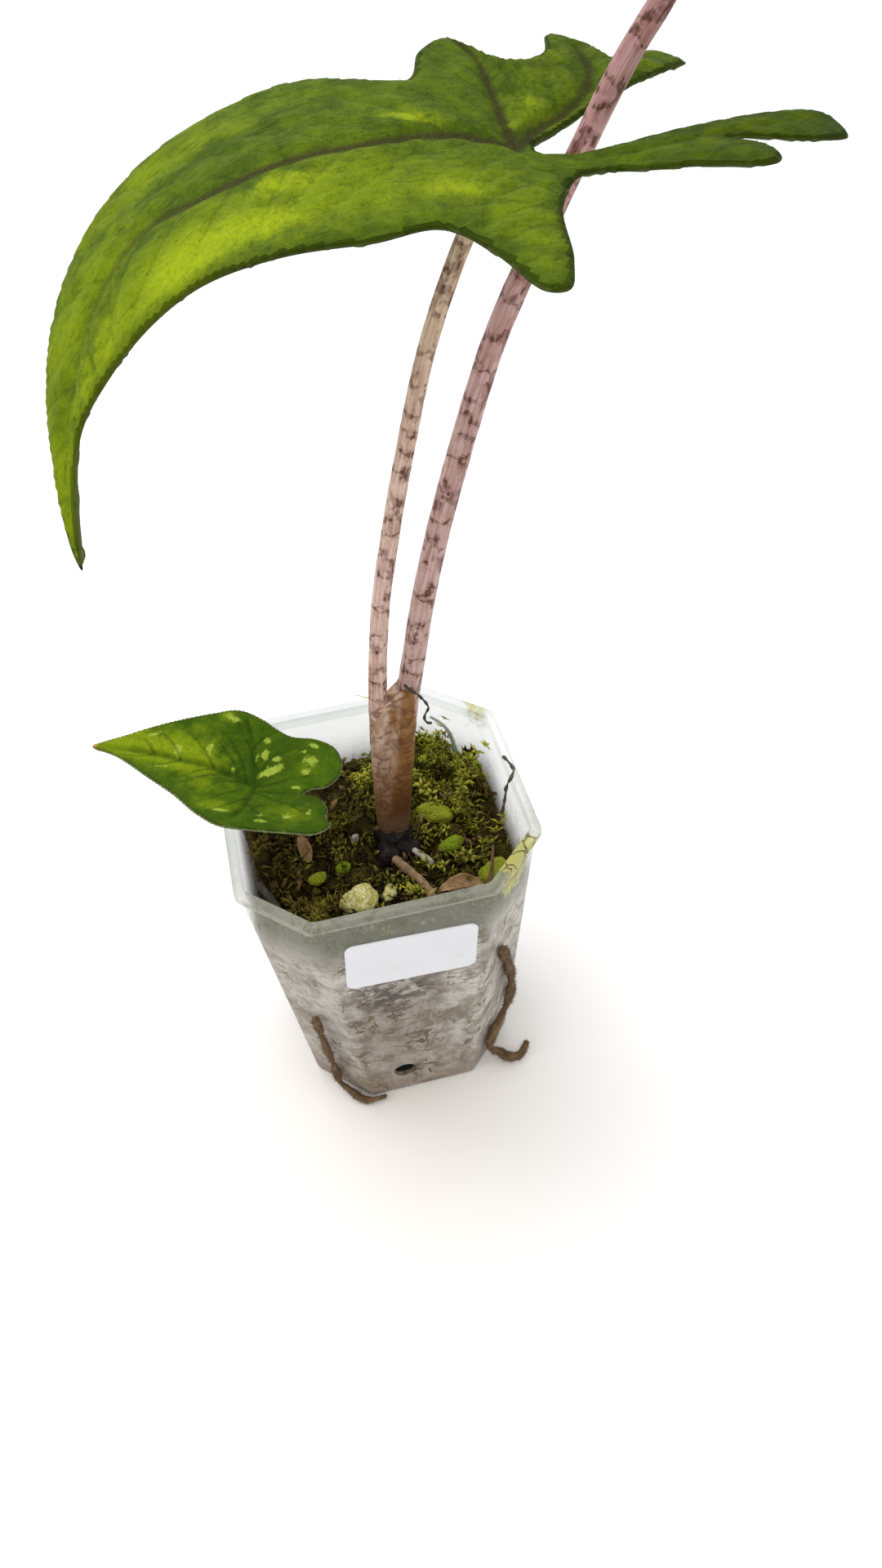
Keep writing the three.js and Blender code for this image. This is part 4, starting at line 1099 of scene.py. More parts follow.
def petiole_finish(name, low, middle, high, marks, brown_to):
    """Colours up the stalk, then fine lines along it, then the torn marks across it."""
    f = Finish(name, Roughness=0.5, Specular_IOR_Level=0.15)
    stalk = f.attribute("stalk", "Vector")
    part = f.attribute("part")
    ground = f.blend(f.step(part, 0.12, 0.5), low, middle)
    ground = f.blend(f.step(part, 0.5, 0.95), ground, high)
    streak = f.cloud(f.stretched(stalk, (1, 1, 0.045)), 0.42, 3, 0.7)
    ground = f.blend(f.step(streak, 0.42, 0.66) * 0.42, ground, (0.26, 0.125, 0.115))
    ground = f.blend(f.step(streak, 0.5, 0.3) * 0.25, ground, (0.78, 0.66, 0.62))
    torn = f.warp(f.warp(stalk, 1.2, 3.0, 4), 0.35, 0.35)
    edge = f.cells(f.stretched(torn, (0.55, 0.55, 1.0)), 3.6)
    gaps = f.step(f.cloud(f.stretched(stalk, (1, 1, 0.8), (4, 2, 1)), 1.5, 2, 0.5), 0.39, 0.49)
    drips = f.step(f.cloud(f.stretched(stalk, (2.2, 2.2, 0.3), (1, 0, 3)), 1.0, 3, 0.6), 0.44, 0.60)
    mark = f.step(edge, 0.10, 0.02) * gaps * (drips * 0.5 + 0.5) * marks
    halo = f.step(edge, 0.42, 0.06) * gaps * (drips * 0.6 + 0.12) * marks
    ground = f.blend(halo * 0.85, ground, (0.20, 0.070, 0.040))
    ground = f.blend(f.clip(mark) * 0.92, ground, (0.078, 0.024, 0.011))
    foot = f.step(part, brown_to, brown_to * 0.35)
    tan = f.blend(f.cloud(stalk, 1.8, 3), (0.30, 0.155, 0.085), (0.40, 0.27, 0.19))
    ground = f.blend(foot * 0.8, ground, tan)
    net = f.step(f.cells(f.warp(f.place(), 0.8, 0.9), 1.9), 0.16, 0.0) * foot
    ground = f.blend(net * 0.55, ground, (0.09, 0.035, 0.018))
    f.give(Base_Color=ground)
    f.give(Roughness=streak * 0.3 + 0.28)
    f.bump(f.sum_of(streak, f.clip(mark) * -0.5, net * -0.3), 0.12)
    return f


left_stalk, right_stalk, small_stalk = (petiole_finish(*row) for row in (
    ("pale_petiole", (0.48, 0.325, 0.245), (0.60, 0.42, 0.35), (0.55, 0.42, 0.28), 1.0, 0.16),
    ("pink_petiole", (0.52, 0.375, 0.32), (0.48, 0.31, 0.285), (0.50, 0.26, 0.265), 1.0, 0.15),
    ("young_petiole", (0.30, 0.22, 0.14), (0.32, 0.26, 0.14), (0.26, 0.28, 0.08), 0.6, 0.12)))
print("petiole finishes ready")

# %% [markdown]
# A petiole is a round stalk that thins toward its leaf. A curve with a bevel would do,
# but a tube of rings also carries the place along the stalk and round it, and the marks
# are drawn with those. The small leaf's stalk is mostly hidden, so it has fewer rings.

# %% Petiole meshes
def tapering(foot, top):
    """A radius that changes evenly from the foot of a piece to its top."""
    return lambda t: foot + (top - foot) * t


def build_stalk(name, path, foot, top, finish, sides=40, count=260):
    parts = tube(path, tapering(foot, top), sides, count, 0.035, 3.0, foot * 10)
    return show(name, closed_mesh(name, *parts), [finish])


left_petiole = build_stalk("mottled_petiole_left", LEFT_PATH, 1.6, 0.95, left_stalk)
right_petiole = build_stalk("mottled_petiole_right", RIGHT_PATH, 2.0, 1.1, right_stalk)
small_petiole = build_stalk("petiole_of_small_leaf", SMALL_PATH, 0.95, 0.7, small_stalk, 20, 50)
register(small_petiole, "petiole", "petiole_small")

# %% [markdown]
# The foot of the tall stalk is a sheath: a dry, tan wrap that holds the older stalk and
# ends in a notch where the two part. It is a stack of rings. Each lies between the
# outline a string would take round both stalks and the outline of the two stalks
# themselves, so that a shallow groove runs up to the notch.


# %% Sheath round both stalks
def sheath_finish():
    f = Finish("dry_sheath", Roughness=0.5, Specular_IOR_Level=0.12)
    spot = f.place()
    x, z = f.axis(spot, "X"), f.axis(spot, "Z")
    tint = f.cloud(f.place((1, 1, 0.35)), 1.4, 4, 0.6)
    pale = f.blend(f.step(z, 54, 82), (0.15, 0.083, 0.030), (0.54, 0.375, 0.275))
    pale = f.blend(f.step(tint, 0.42, 0.62) * 0.55, pale, (0.20, 0.088, 0.038))
    strip = f.step(x - z * 0.135 + (tint - 0.5) * 1.6, -5.7, -4.4) * f.step(z, 53, 57)
    web = f.near(f.place((1, 0.3, 0.22)), (4.6, -0.7, 17.6), 0.4, 1.2)
    ochre = f.blend(f.step(z, 57, 74), (0.090, 0.034, 0.008), (0.33, 0.15, 0.03))
    ochre = f.blend(tint, ochre, (0.105, 0.040, 0.009))
    colour = f.blend(f.clip(strip + web) * 0.9, pale, ochre)
    edge = f.cells(f.stretched(f.warp(f.warp(spot, 2.4, 1.8), 0.6, 0.7), (0.8, 0.8, 1.1)), 2.1)
    patch = f.step(f.cloud(f.place((1, 1, 0.6), shift=(7, 1, 2)), 2.4, 3), 0.36, 0.56)
    net = f.step(edge, 0.20, 0.0) * patch
    colour = f.blend(net * 0.62, colour, (0.085, 0.030, 0.014))
    dark = f.step(f.cloud(f.place((1, 1, 0.5), shift=(3, 3, 3)), 1.3, 4, 0.7), 0.60, 0.72)
    colour = f.blend(dark * 0.6, colour, (0.085, 0.032, 0.016))
    scar = f.near(f.place((1, 0.3, 1), (0, 0.75, 0)), (-42.2, -1.0, 53.0), 0.2, 0.9)
    colour = f.blend(scar * 0.7, colour, (0.07, 0.022, 0.014))
    colour = f.blend(f.step(z, 58, 51.5) * 0.65, colour, (0.13, 0.085, 0.05))
    f.give(Base_Color=colour)
    f.bump(f.sum_of(f.cloud(f.place((1, 1, 0.08)), 0.4, 3), net * -0.4, tint * 0.6), 0.18)
    return f


def ray_to_circle(centre, radius, out):
    """How far rays from the origin run before they leave a circle, 0 where they miss it."""
    along = out @ centre
    square = radius**2 - centre @ centre + along**2
    return np.where(square > 0, np.maximum(along + np.sqrt(np.maximum(square, 0)), 0), 0)


SHEATH_LOW, SHEATH_TOP, SHEATH_RINGS, SHEATH_SIDES = 51.6, 84.4, 80, 84


def build_sheath():
    left, _ = path_through(LEFT_PATH, 400)
    right, _ = path_through(RIGHT_PATH, 600)
    rings, n = [], SHEATH_SIDES
    turn = np.linspace(0, 2 * np.pi, n, endpoint=False)
    out = np.stack([np.cos(turn), np.sin(turn)], 1)
    heights = np.linspace(SHEATH_LOW, SHEATH_TOP, SHEATH_RINGS)
    for z in heights:
        part = (z - heights[0]) / (heights[-1] - heights[0])
        a, b = (np.array([np.interp(z, path[:, 2], path[:, k]) for k in range(2)]) for path in (left, right))
        # The stalks' own radii at this height, and the wrap's thickness on each.
        ra = 1.6 - 0.65 * (z - 51) / 110 + 0.18 * (1 - part) ** 0.5 - 0.08 * part
        rb = 2.0 - 0.9 * (z - 51) / 150 + 0.17
        middle = 0.5 * (a + b)
        hull = np.zeros(n)
        for share in np.linspace(0, 1, 30):
            hull = np.maximum(hull, ray_to_circle(a + (b - a) * share - middle, ra + (rb - ra) * share, out))
        both = np.maximum(ray_to_circle(a - middle, ra, out), ray_to_circle(b - middle, rb, out))
        both = np.maximum(both, hull * 0.55)
        filled = 0.82 - 0.35 * part
        ring = middle + out * (filled * hull + (1 - filled) * both)[:, None]
        tall = z + 0.55 * part**4 * (ring[:, 0] - middle[0])
        rings.append(np.column_stack([ring, tall]))
    skin = np.vstack(rings)
    middle = np.repeat([r.mean(0) for r in rings], n, axis=0)
    skin += (skin - middle) * (0.03 * rough(skin, 2.2, 5.0))[:, None]
    points = np.vstack([skin, rings[0].mean(0)[None], rings[-1].mean(0)[None] - (0, 0, 0.9)])
    return show("sheath", closed_mesh("sheath", points, stack_faces(len(rings), n)), [sheath_finish()])


join(right_petiole, build_sheath())
register(right_petiole, "petiole", "petiole_right")

# %% [markdown]
# A thin yellow root hair stands off the left stalk, just above the notch. It could be
# painted on, but it breaks the stalk's clean edge, so it is a thin tube, joined to it.

# %% Left stalk and its hair
HAIR_PATH = [(1.6, -3.6, 84.6), (0.6, -4.0, 85.2), (-0.2, -4.2, 86.0), (-0.9, -4.1, 86.1)]
yellow = Finish("yellow_hair", Roughness=0.6)
yellow.give(Base_Color=yellow.blend(yellow.cloud(yellow.place(), 0.5), (0.62, 0.5, 0.2), (0.72, 0.62, 0.34)))
root_hair_mesh = closed_mesh("root_hair", *tube(HAIR_PATH, tapering(0.11, 0.05), 6, 14))
join(left_petiole, show("root_hair", root_hair_mesh, [yellow]))
register(left_petiole, "petiole", "petiole_left")

# %% [markdown]
# ## The leaves
# A blade is a flat outline bent over its midrib: the midrib follows measured headings
# and climbs, and each half has its own tilt. The same rule as in the frame bends a much
# finer mesh here, with real relief: the flesh puffs up between the veins and the veins
# lie in grooves on top and stand proud below. Every point keeps its flat place and its
# distance from the veins and the margin, and the finish draws with those.

# %% Leaf shapes
LARGE_OUTLINE = [
    (73, -0.6), (65, -0.8), (58, -1.4), (51, -4.8), (41, -9.8), (32, -14.6), (20, -17.2), (12, -17.2), (8.5, -22.5),
    (6, -30), (4.4, -30.6), (2.6, -26), (0, -14.5), (-4.5, -7.6), (-10, -12.6), (-15.5, -19.2), (-19.5, -14),
    (-18.5, -8.8), (-24, -14), (-29, -14.5), (-32.8, -7), (-22, -3.5), (-11.5, -1.4), (-2.6, -0.8), (-2.5, 1.5),
    (-8, 5), (-14, 7), (-19.5, 9), (-33, 15.5), (-32, 20), (-23.5, 17), (-23, 21.5), (-19.5, 24.5), (-15.5, 20),
    (-12, 19), (-6.5, 21), (1, 26.6), (5, 23), (8.5, 15), (19, 18), (26.5, 17), (34.5, 16), (43, 14), (51, 11),
    (57, 7.6), (63, 3.9)]
LARGE_BEND = [(-35, 198, 3, -6, 0), (-12, 195, -3, 5, 13), (0, 182, 13, -3, 10), (20, 184, -2, -11, 5),
              (40, 199, -35, -2, -2), (60, 215, -65, 8, -11), (78, 229, -87, 12, -10)]
TOP_BEND = [(-42, 64, -12, -6, -6), (-13, 62, -4, -3, -2), (0, 60, 12, -6, -5), (22, 58, 0, -9, -9),
            (45, 57, -18, -8, -8), (67, 55, -34, -4, -4), (88, 52, -45, 0, 0)]
TOP_LEAF_SCALE = 1.1
SMALL_OUTLINE = [
    (31.5, -0.5), (25.5, -1.2), (18, -3.5), (11.5, -6), (6, -9.5), (2, -11.5), (-2.5, -11.5), (-8, -11), (-12, -10.6),
    (-13.7, -8.2), (-12.6, -6.2), (-12.4, -4), (-10.2, -1.1), (-7.6, -0.3), (-8.8, 0.8), (-11, 1.5), (-12.6, 4),
    (-12.6, 7), (-10.5, 10.5), (-7, 11.5), (-2.5, 11), (4, 13), (8.7, 13.3), (13, 11.5), (20.5, 7.5), (26.5, 3.5)]
SMALL_BEND = [(-14, 160, -2, 10, -2), (0, 154, 2, 13, 12), (14, 144, 2, 9, 21), (32, 138, -3, 1, 20)]

LARGE_RIBS = [
    [(0, 0.4), (2.75, 1.8), (7, 2.2), (11.5, 1.1), (15.5, 0.1), (22, -0.2), (29.5, 0), (34, 1.6), (38, 4.0),
     (43, 4.2), (50, 3), (58, 1.6), (66, 0.3), (73, -0.6)],
    [(0, 0.4), (-0.5, 6.75), (-1.25, 13.5), (-2, 21.2), (-0.6, 25)],
    [(0, 0.4), (-4.5, 5.2), (-9, 7.25), (-13, 9.4), (-16, 11.9), (-19, 16), (-20.8, 21)]]
LARGE_LESSER = [
    [(-13, 9.4), (-22, 13.6), (-32, 17)],
    [(0, 0.4), (1, -7), (2.2, -14), (3.6, -22), (4.8, -29)],
    [(0, 0.4), (-3.5, -2.6), (-8, -5), (-20, -8), (-31, -9.5)],
    [(-3.5, -2.6), (-9, -8.4), (-15, -17)]]
SMALL_RIBS = [
    [(0.4, 0.4), (4.8, 1.6), (9.9, 2.2), (14.8, 2.0), (19.8, 1.7), (25.9, 0.7), (31.2, -0.8)],
    [(0.4, 0.4), (1.3, 2.5), (3.3, 7.3), (4.5, 9.5), (6.1, 11.6)],
    [(0.4, 0.4), (0.4, -1.3), (0.4, -6.2), (1.0, -8.8)]]
SMALL_VEINS = [
    [(8.7, 2.2), (10.6, 4.0), (13.9, 6.2), (16.3, 7.1), (18.4, 7.3)], [(5.2, 3.5), (7.0, 5.0), (9.9, 7.1), (11.7, 8.8)],
    [(2.4, 1.2), (4.3, 4.4), (6.0, 6.2), (7.9, 7.9), (10.6, 8.8)], [(0.7, 2.3), (-0.3, 5.5), (-2.6, 7.7), (-5.5, 9.8)],
    [(-0.5, 0.1), (-3.6, 1.7), (-5.1, 2.6), (-9.5, 4.0)], [(9.6, 1.7), (11.5, 0.5), (13.0, -1.6), (16.0, -3.2)],
    [(5.7, 1.6), (9.6, 0.1), (12.1, -2.8), (13.4, -3.9)], [(2.2, 0.7), (5.4, 0.1), (8.2, -2.5), (10.8, -4.4)],
    [(2.1, -1.3), (4.2, -2.8), (5.8, -5.2), (7.8, -6.6)], [(-0.9, -5.8), (-2.9, -4.6), (-4.7, -4.6)],
    [(0.3, -1.3), (-4.0, -3.2), (-6.9, -4.1), (-9.9, -6.8)], [(-0.6, -1.1), (-4.8, -0.8), (-7.1, -0.7)],
    [(14.8, 2.0), (17.0, 4.0), (20.5, 5.4), (24, 4.6)], [(14.8, 2.0), (17.5, 0.2), (21.0, -1.4)],
    [(19.8, 1.7), (22.5, 3.4), (26, 3.2)], [(19.8, 1.7), (23, 0.0), (26, -0.7)],
    [(3.3, 7.3), (1.5, 10.0), (0.0, 11.2)], [(1.2, 3.2), (4.6, 8.0), (8.5, 11.6)],
    [(0.4, -4.5), (-3.5, -8.0), (-8, -9.4)], [(0.4, -3.0), (3.4, -6.6), (5.4, -8.8)]]
print("outline points", len(LARGE_OUTLINE), len(SMALL_OUTLINE))

# %% [markdown]
# The blade droops, twists and lifts at its lobes. A simple deform modifier bends in one
# direction only, so a table gives the heading, the climb and the tilt of each half at
# some places on the midrib, and a smooth curve runs through them. Any point of the flat
# leaf then finds its place in space from how far along and how far aside it is.

# %% Bending a blade
def read_table(table, column, u):
    """A column of a table read smoothly at u, by Hermite curves."""
    x, y = (np.array([row[k] for row in table], float) for k in (0, column))
    slope = np.concatenate([[(y[1] - y[0]) / (x[1] - x[0])], (y[2:] - y[:-2]) / (x[2:] - x[:-2]),
                            [(y[-1] - y[-2]) / (x[-1] - x[-2])]])
    u = np.clip(u, x[0], x[-1])
    i = np.clip(np.searchsorted(x, u, side="right") - 1, 0, len(x) - 2)
    h = x[i + 1] - x[i]
    t = (u - x[i]) / h
    return ((2 * t**3 - 3 * t**2 + 1) * y[i] + (t**3 - 2 * t**2 + t) * h * slope[i]
            + (3 * t**2 - 2 * t**3) * y[i + 1] + (t**3 - t**2) * h * slope[i + 1])


class Midrib:
    """The bent centre line of a blade, with the way it runs and the way it leans."""

    def __init__(self, bend, junction):
        self.bend = bend
        self.u = np.arange(bend[0][0] - 4, bend[-1][0] + 4.01, 0.5)
        heading, climb = (np.radians(read_table(bend, k, self.u)) for k in (1, 2))
        self.along = np.stack([np.cos(heading) * np.cos(climb), np.sin(heading) * np.cos(climb), np.sin(climb)], 1)
        self.side = np.stack([np.sin(heading), -np.cos(heading), 0 * heading], 1)
        self.up = np.cross(self.side, self.along)
        line = np.vstack([np.zeros(3), np.cumsum((self.along[1:] + self.along[:-1]) * 0.25, axis=0)])
        self.line = line - line[np.argmin(abs(self.u))] + np.array(junction)

    def place(self, u, v, w):
        """Where a point of the flat blade goes, w above its middle."""
        def at(rows):
            return np.stack([np.interp(u, self.u, rows[:, k]) for k in range(3)], 1)

        fold = np.sqrt(v**2 + 0.49) - 0.7
        hand = v / np.sqrt(v**2 + 0.49)
        share = np.clip(0.5 + v / 3, 0, 1)
        share = share * share * (3 - 2 * share)
        tilt = np.radians(read_table(self.bend, 3, u) * (1 - share) + read_table(self.bend, 4, u) * share)
        return (at(self.line) + at(self.side) * (v * np.cos(tilt) - hand * w * np.sin(tilt))[:, None]
                + at(self.up) * (fold * np.sin(tilt) + w * np.cos(tilt))[:, None])

# %% [markdown]
# Side veins leave a main rib in pairs and sweep toward its tip, closer to the rib at
# their ends. Drawing each by hand would take hours, and noise can't make them, so a
# short rule grows them along every rib, with a small sway so that no two are alike.

# %% Veins
def smooth_line(points, per_span=8):
    p = np.asarray(points, float)
    p = np.vstack([2 * p[0] - p[1], p, 2 * p[-1] - p[-2]])
    return np.vstack([span(*p[i:i + 4], per_span) for i in range(len(p) - 3)] + [p[-2:-1]])


VEIN_LEAN, FIRST_VEIN = 52, 2.0


def side_veins(rib, every, reach):
    """Curved side veins that leave a rib on both sides and sweep toward its tip."""
    line, along = even_steps(smooth_line(rib), 200)
    total, veins = along[-1], []
    at = FIRST_VEIN
    while at < total * 0.95:
        base = np.array([np.interp(at, along, line[:, k]) for k in range(2)])
        ahead = np.array([np.interp(at + 0.5, along, line[:, k]) for k in range(2)]) - base
        heading = math.atan2(ahead[1], ahead[0]) if np.linalg.norm(ahead) > 1e-6 else 0
        for hand in (1, -1):
            t = np.linspace(0, 1, 9)[:, None]
            angle = heading + hand * np.radians(VEIN_LEAN * (1 - 0.45 * t) + 6 * math.sin(at * 1.7 + hand))
            steps = reach / 8 * np.hstack([np.cos(angle), np.sin(angle)])
            veins.append(base + np.vstack([[(0, 0)], np.cumsum(steps[:-1], axis=0)]))
        at += every * (1 + 0.12 * math.sin(at * 2.3))
    return veins


LARGE_VEINS = LARGE_LESSER + [vein for k, rib in enumerate(LARGE_RIBS + LARGE_LESSER[:2])
                              for vein in side_veins(rib, *((5.6, 21) if k == 0 else (4.5, 12)))]
print("veins on the large leaf", len(LARGE_VEINS))

# %% [markdown]
# The flesh between the veins is puffed like a quilt, and the margin is thin. A bump map
# would not change the outline of a leaf seen from its edge, so the relief is in the
# mesh. The flat outline is filled with small triangles, lifted by the distance from
# each vein, bent, and closed by an underside that shares the rim.

# %% Blade mesh
def spots_at(u, v, spots):
    """Soft ellipses on a flat blade: middle, two radii, turn in degrees and strength."""
    value = np.zeros(len(u))
    for cu, cv, ru, rv, turn, amount in spots:
        c, s = math.cos(math.radians(turn)), math.sin(math.radians(turn))
        x, y = (u - cu) * c + (v - cv) * s, -(u - cu) * s + (v - cv) * c
        value = np.maximum(value, amount * np.exp(-((x / ru) ** 2 + (y / rv) ** 2)))
    return value


def blade_mesh(name, outline, ribs, veins, midrib, *, thick, cell, puff, rib_half, cream, glow,
               teeth=0.0, scale=1.0):
    p = np.array(outline, float) * scale
    n = len(p)
    line = np.vstack([span(p[i - 1], p[i], p[(i + 1) % n], p[(i + 2) % n], 16) for i in range(n)])
    length = np.linalg.norm(np.roll(line, -1, 0) - line, axis=1).sum()
    rim, at = even_steps(np.vstack([line, line[:1]]), int(length / (cell * 0.7)) + 1)
    rim, at = rim[:-1], at[:-1]
    if teeth:
        out = np.roll(rim, -1, 0) - np.roll(rim, 1, 0)
        out = np.stack([out[:, 1], -out[:, 0]], 1) / np.linalg.norm(out, axis=1)[:, None]
        wave = np.abs(np.sin(at * np.pi / 0.8 + 1.4 * rough(np.column_stack([rim, 0 * at]), 3.0, 1.0)))
        rim = rim - out * (teeth * wave)[:, None]
    flat, triangles = fill(rim, cell)
    plain = flat / scale
    u, v = plain[:, 0], plain[:, 1]
    edge = distance_to_line(flat, rim, True)[0]
    edge[:len(rim)] = 0
    rib = np.full(len(flat), 9.0)
    for k, points in enumerate(ribs):
        away, part = distance_to_line(plain, smooth_line(points))
        rib = np.minimum(rib, away - rib_half * (1.0 if k == 0 else 0.72) * (1.05 - part) ** 0.7)
    side = np.full(len(flat), 9.0)
    for points in veins:
        away, part = distance_to_line(plain, smooth_line(points, 4))
        side = np.minimum(side, away + 0.25 * part)
    hollow = np.exp(-(np.clip(rib, 0, 9) / (rib_half * 1.7)) ** 2)
    groove = np.exp(-(side / 0.8) ** 2)
    spot3 = np.column_stack([plain, np.zeros(len(flat))])
    lift = puff * (0.8 * (1 - groove) + 0.45 * rough(spot3, 2.6, 3.0, 3)) * (1 - hollow) * np.clip(edge / 2.0, 0.15, 1)
    lift -= puff * 1.2 * hollow * np.clip(edge / 1.5, 0, 1)
    round_off = np.sqrt(np.clip(1 - (1 - np.clip(edge / (thick * 0.9), 0, 1)) ** 2, 0, 1))
    half = thick / 2 * round_off
    proud = (0.8 * hollow + 0.25 * groove) * puff * 1.6 * round_off
    top = midrib.place(flat[:, 0], flat[:, 1], lift * round_off + half)
    under = midrib.place(flat[:, 0], flat[:, 1], lift * round_off - half - proud)
    on_rim = edge <= 1e-6
    index = np.arange(len(flat))
    below = index.copy()
    below[~on_rim] = len(flat) + np.arange((~on_rim).sum())
    points = np.vstack([top, under[~on_rim]])
    faces = [(a, c, b) for a, b, c in triangles] + [(below[a], below[b], below[c]) for a, b, c in triangles]

    def both(values):
        return np.concatenate([values, values[~on_rim]])

    back = np.concatenate([on_rim * 0.5, np.ones((~on_rim).sum())])
    values = {"blade": np.column_stack([both(u), both(v), 40 * back]), "underside": back}
    for key, value in (("rib", rib), ("vein", side), ("edge", edge), ("cream", spots_at(u, v, cream)),
                       ("glow", spots_at(u, v, glow)), ("hairy", np.clip(edge / 0.3, 0, 1))):
        values[key] = both(value)
    return closed_mesh(name, points, faces, values)

# %% [markdown]
# The leaf finish layers what the eye sees: two greens, yellow-green patches and specks
# of variegation, darker side veins and a fine net between them, the dark-brown main
# ribs, a pale margin, and a band of painted shade along the near margin. The underside
# is paler. Blotches of lighter and darker green stand for the down, and the lighter ones
# are a painted sheen. The tip of the young leaf is dry, so its finish gets a tip_at.


# %% Leaf finish
def leaf_finish(name, *, deep, bright, lime, pale, rib_colour, rib_strength, net_size, margin, soft, torn, down_sheen,
                veins, quilt, tip_at=None):
    f = Finish(name, Roughness=0.65, Specular_IOR_Level=0.04)
    blade = f.attribute("blade", "Vector")
    rib, vein, edge, cream, glow, under = (
        f.attribute(k) for k in ("rib", "vein", "edge", "cream", "glow", "underside"))
    u, v = f.axis(blade, "X"), f.axis(blade, "Y")
    slow, mid, fine = f.cloud(blade, 12, 3), f.cloud(blade, 3.0, 4, 0.6), f.cloud(blade, 0.7, 4, 0.65)
    green = f.blend(f.step(f.sum_of(slow * 0.6, mid * 0.4), 0.34, 0.66), deep, bright)
    green = f.blend(f.step(f.sum_of(glow, (mid - 0.5) * 0.8, (fine - 0.5) * 0.25), 0.1, 0.9) * 0.95, green, lime)
    # Painted sheen of the down: paler streaks, and darker ones between them.
    down_and_sheen = f.cloud(f.stretched(f.warp(blade, 3.0, 2.0), (0.45, 1.6, 1)), 1.1, 4, 0.7)
    green = f.blend(f.step(down_and_sheen, 0.50, 0.72) * down_sheen, green, (0.15, 0.215, 0.022))
    green = f.blend(f.step(down_and_sheen, 0.48, 0.30) * down_sheen, green, tuple(c * 0.5 for c in deep))
    crumb = f.cloud(f.warp(blade, 0.6, 0.6), 0.9, 5, 0.75)
    ragged = f.sum_of(cream, (mid - 0.5) * 0.6, (crumb - 0.5) * torn)
    green = f.blend(f.step(ragged, 0.52 - soft, 0.52 + soft) * 0.9, green, pale)
    speck = f.step(f.cloud(blade, 0.45, 3, 0.7), 0.62, 0.72)
    speck = speck * f.step(f.sum_of(cream, glow * 0.5, slow * 0.3), 0.25, 0.5)
    green = f.blend(speck * 0.5, green, pale)
    net = f.step(f.cells(f.warp(blade, 1.0, 0.7), net_size), 0.10, 0.02)
    green = f.blend(net * veins * 0.22, green, tuple(c * 0.4 for c in deep))
    green = f.blend(f.step(vein + (fine - 0.5) * 0.3, 0.5, 0.05) * veins, green, tuple(c * 0.35 for c in deep))
    # Painted shade: a dark band along the near margin.
    margin_shade = f.step(edge + (mid - 0.5) * 1.5, 2.4, 0.6) * f.step(v, 2, -3) * 0.4
    green = f.blend(margin_shade, green, tuple(c * 0.8 for c in deep))
    ragged_rib = rib + (mid - 0.5) * 0.7 + (fine - 0.5) * 0.5
    green = f.blend(f.step(ragged_rib, 0.8, -0.25) * f.step(u, 62, 26) * rib_strength, green, rib_colour)
    lower = tuple(0.5 * (a + b) for a, b in zip(bright, (0.20, 0.27, 0.10)))
    below = f.blend(f.step(ragged_rib, 0.6, -0.1) * 0.6, f.blend(net * 0.3, lower, deep), (0.20, 0.16, 0.09))
    green = f.blend(f.step(under, 0.5, 0.8), green, below)
    green = f.blend(f.step(edge + (fine - 0.5) * 0.3, 0.28, 0.04) * margin, green, (0.50, 0.56, 0.27))
    if tip_at:
        green = f.blend(f.step(u, tip_at - 9.0, tip_at - 3.0) * 0.6, green, lime)
        green = f.blend(f.step(u, tip_at - 1.1, tip_at - 0.4), green, (0.50, 0.26, 0.07))
    f.give(Base_Color=green)
    f.give(Roughness=fine * 0.25 + 0.5)
    f.bump(f.sum_of(mid * 1.2, down_and_sheen * 0.9, fine * 0.3, net * (-0.2 * veins)), quilt)
    return f


large_green = leaf_finish(
    "fuzzy_leaf", deep=(0.052, 0.092, 0.004), bright=(0.115, 0.175, 0.005), lime=(0.20, 0.27, 0.004),
    pale=(0.31, 0.40, 0.006), rib_colour=(0.042, 0.036, 0.010), rib_strength=0.9, net_size=1.7, margin=0.22,
    soft=0.42, torn=1.2, down_sheen=0.45, veins=0.3, quilt=0.4)
young_green = leaf_finish(
    "young_leaf", deep=(0.031, 0.074, 0.002), bright=(0.066, 0.125, 0.003), lime=(0.205, 0.28, 0.005),
    pale=(0.32, 0.42, 0.050), rib_colour=(0.018, 0.050, 0.002), rib_strength=0.7, net_size=1.3, margin=0.7,
    soft=0.16, torn=1.9, down_sheen=0.16, veins=0.58, quilt=0.3, tip_at=31.5)
print("leaf finish", len(large_green.tree.nodes), "nodes")

# %% [markdown]
# Variegation isn't even: it follows whole sectors of the leaf, and its brightest patches
# sit in a few places. Noise alone would scatter it, so soft ellipses, listed here, say
# where it is strong, and the finish tears their edges. Each one has a middle, two radii,
# a turn in degrees and a strength.

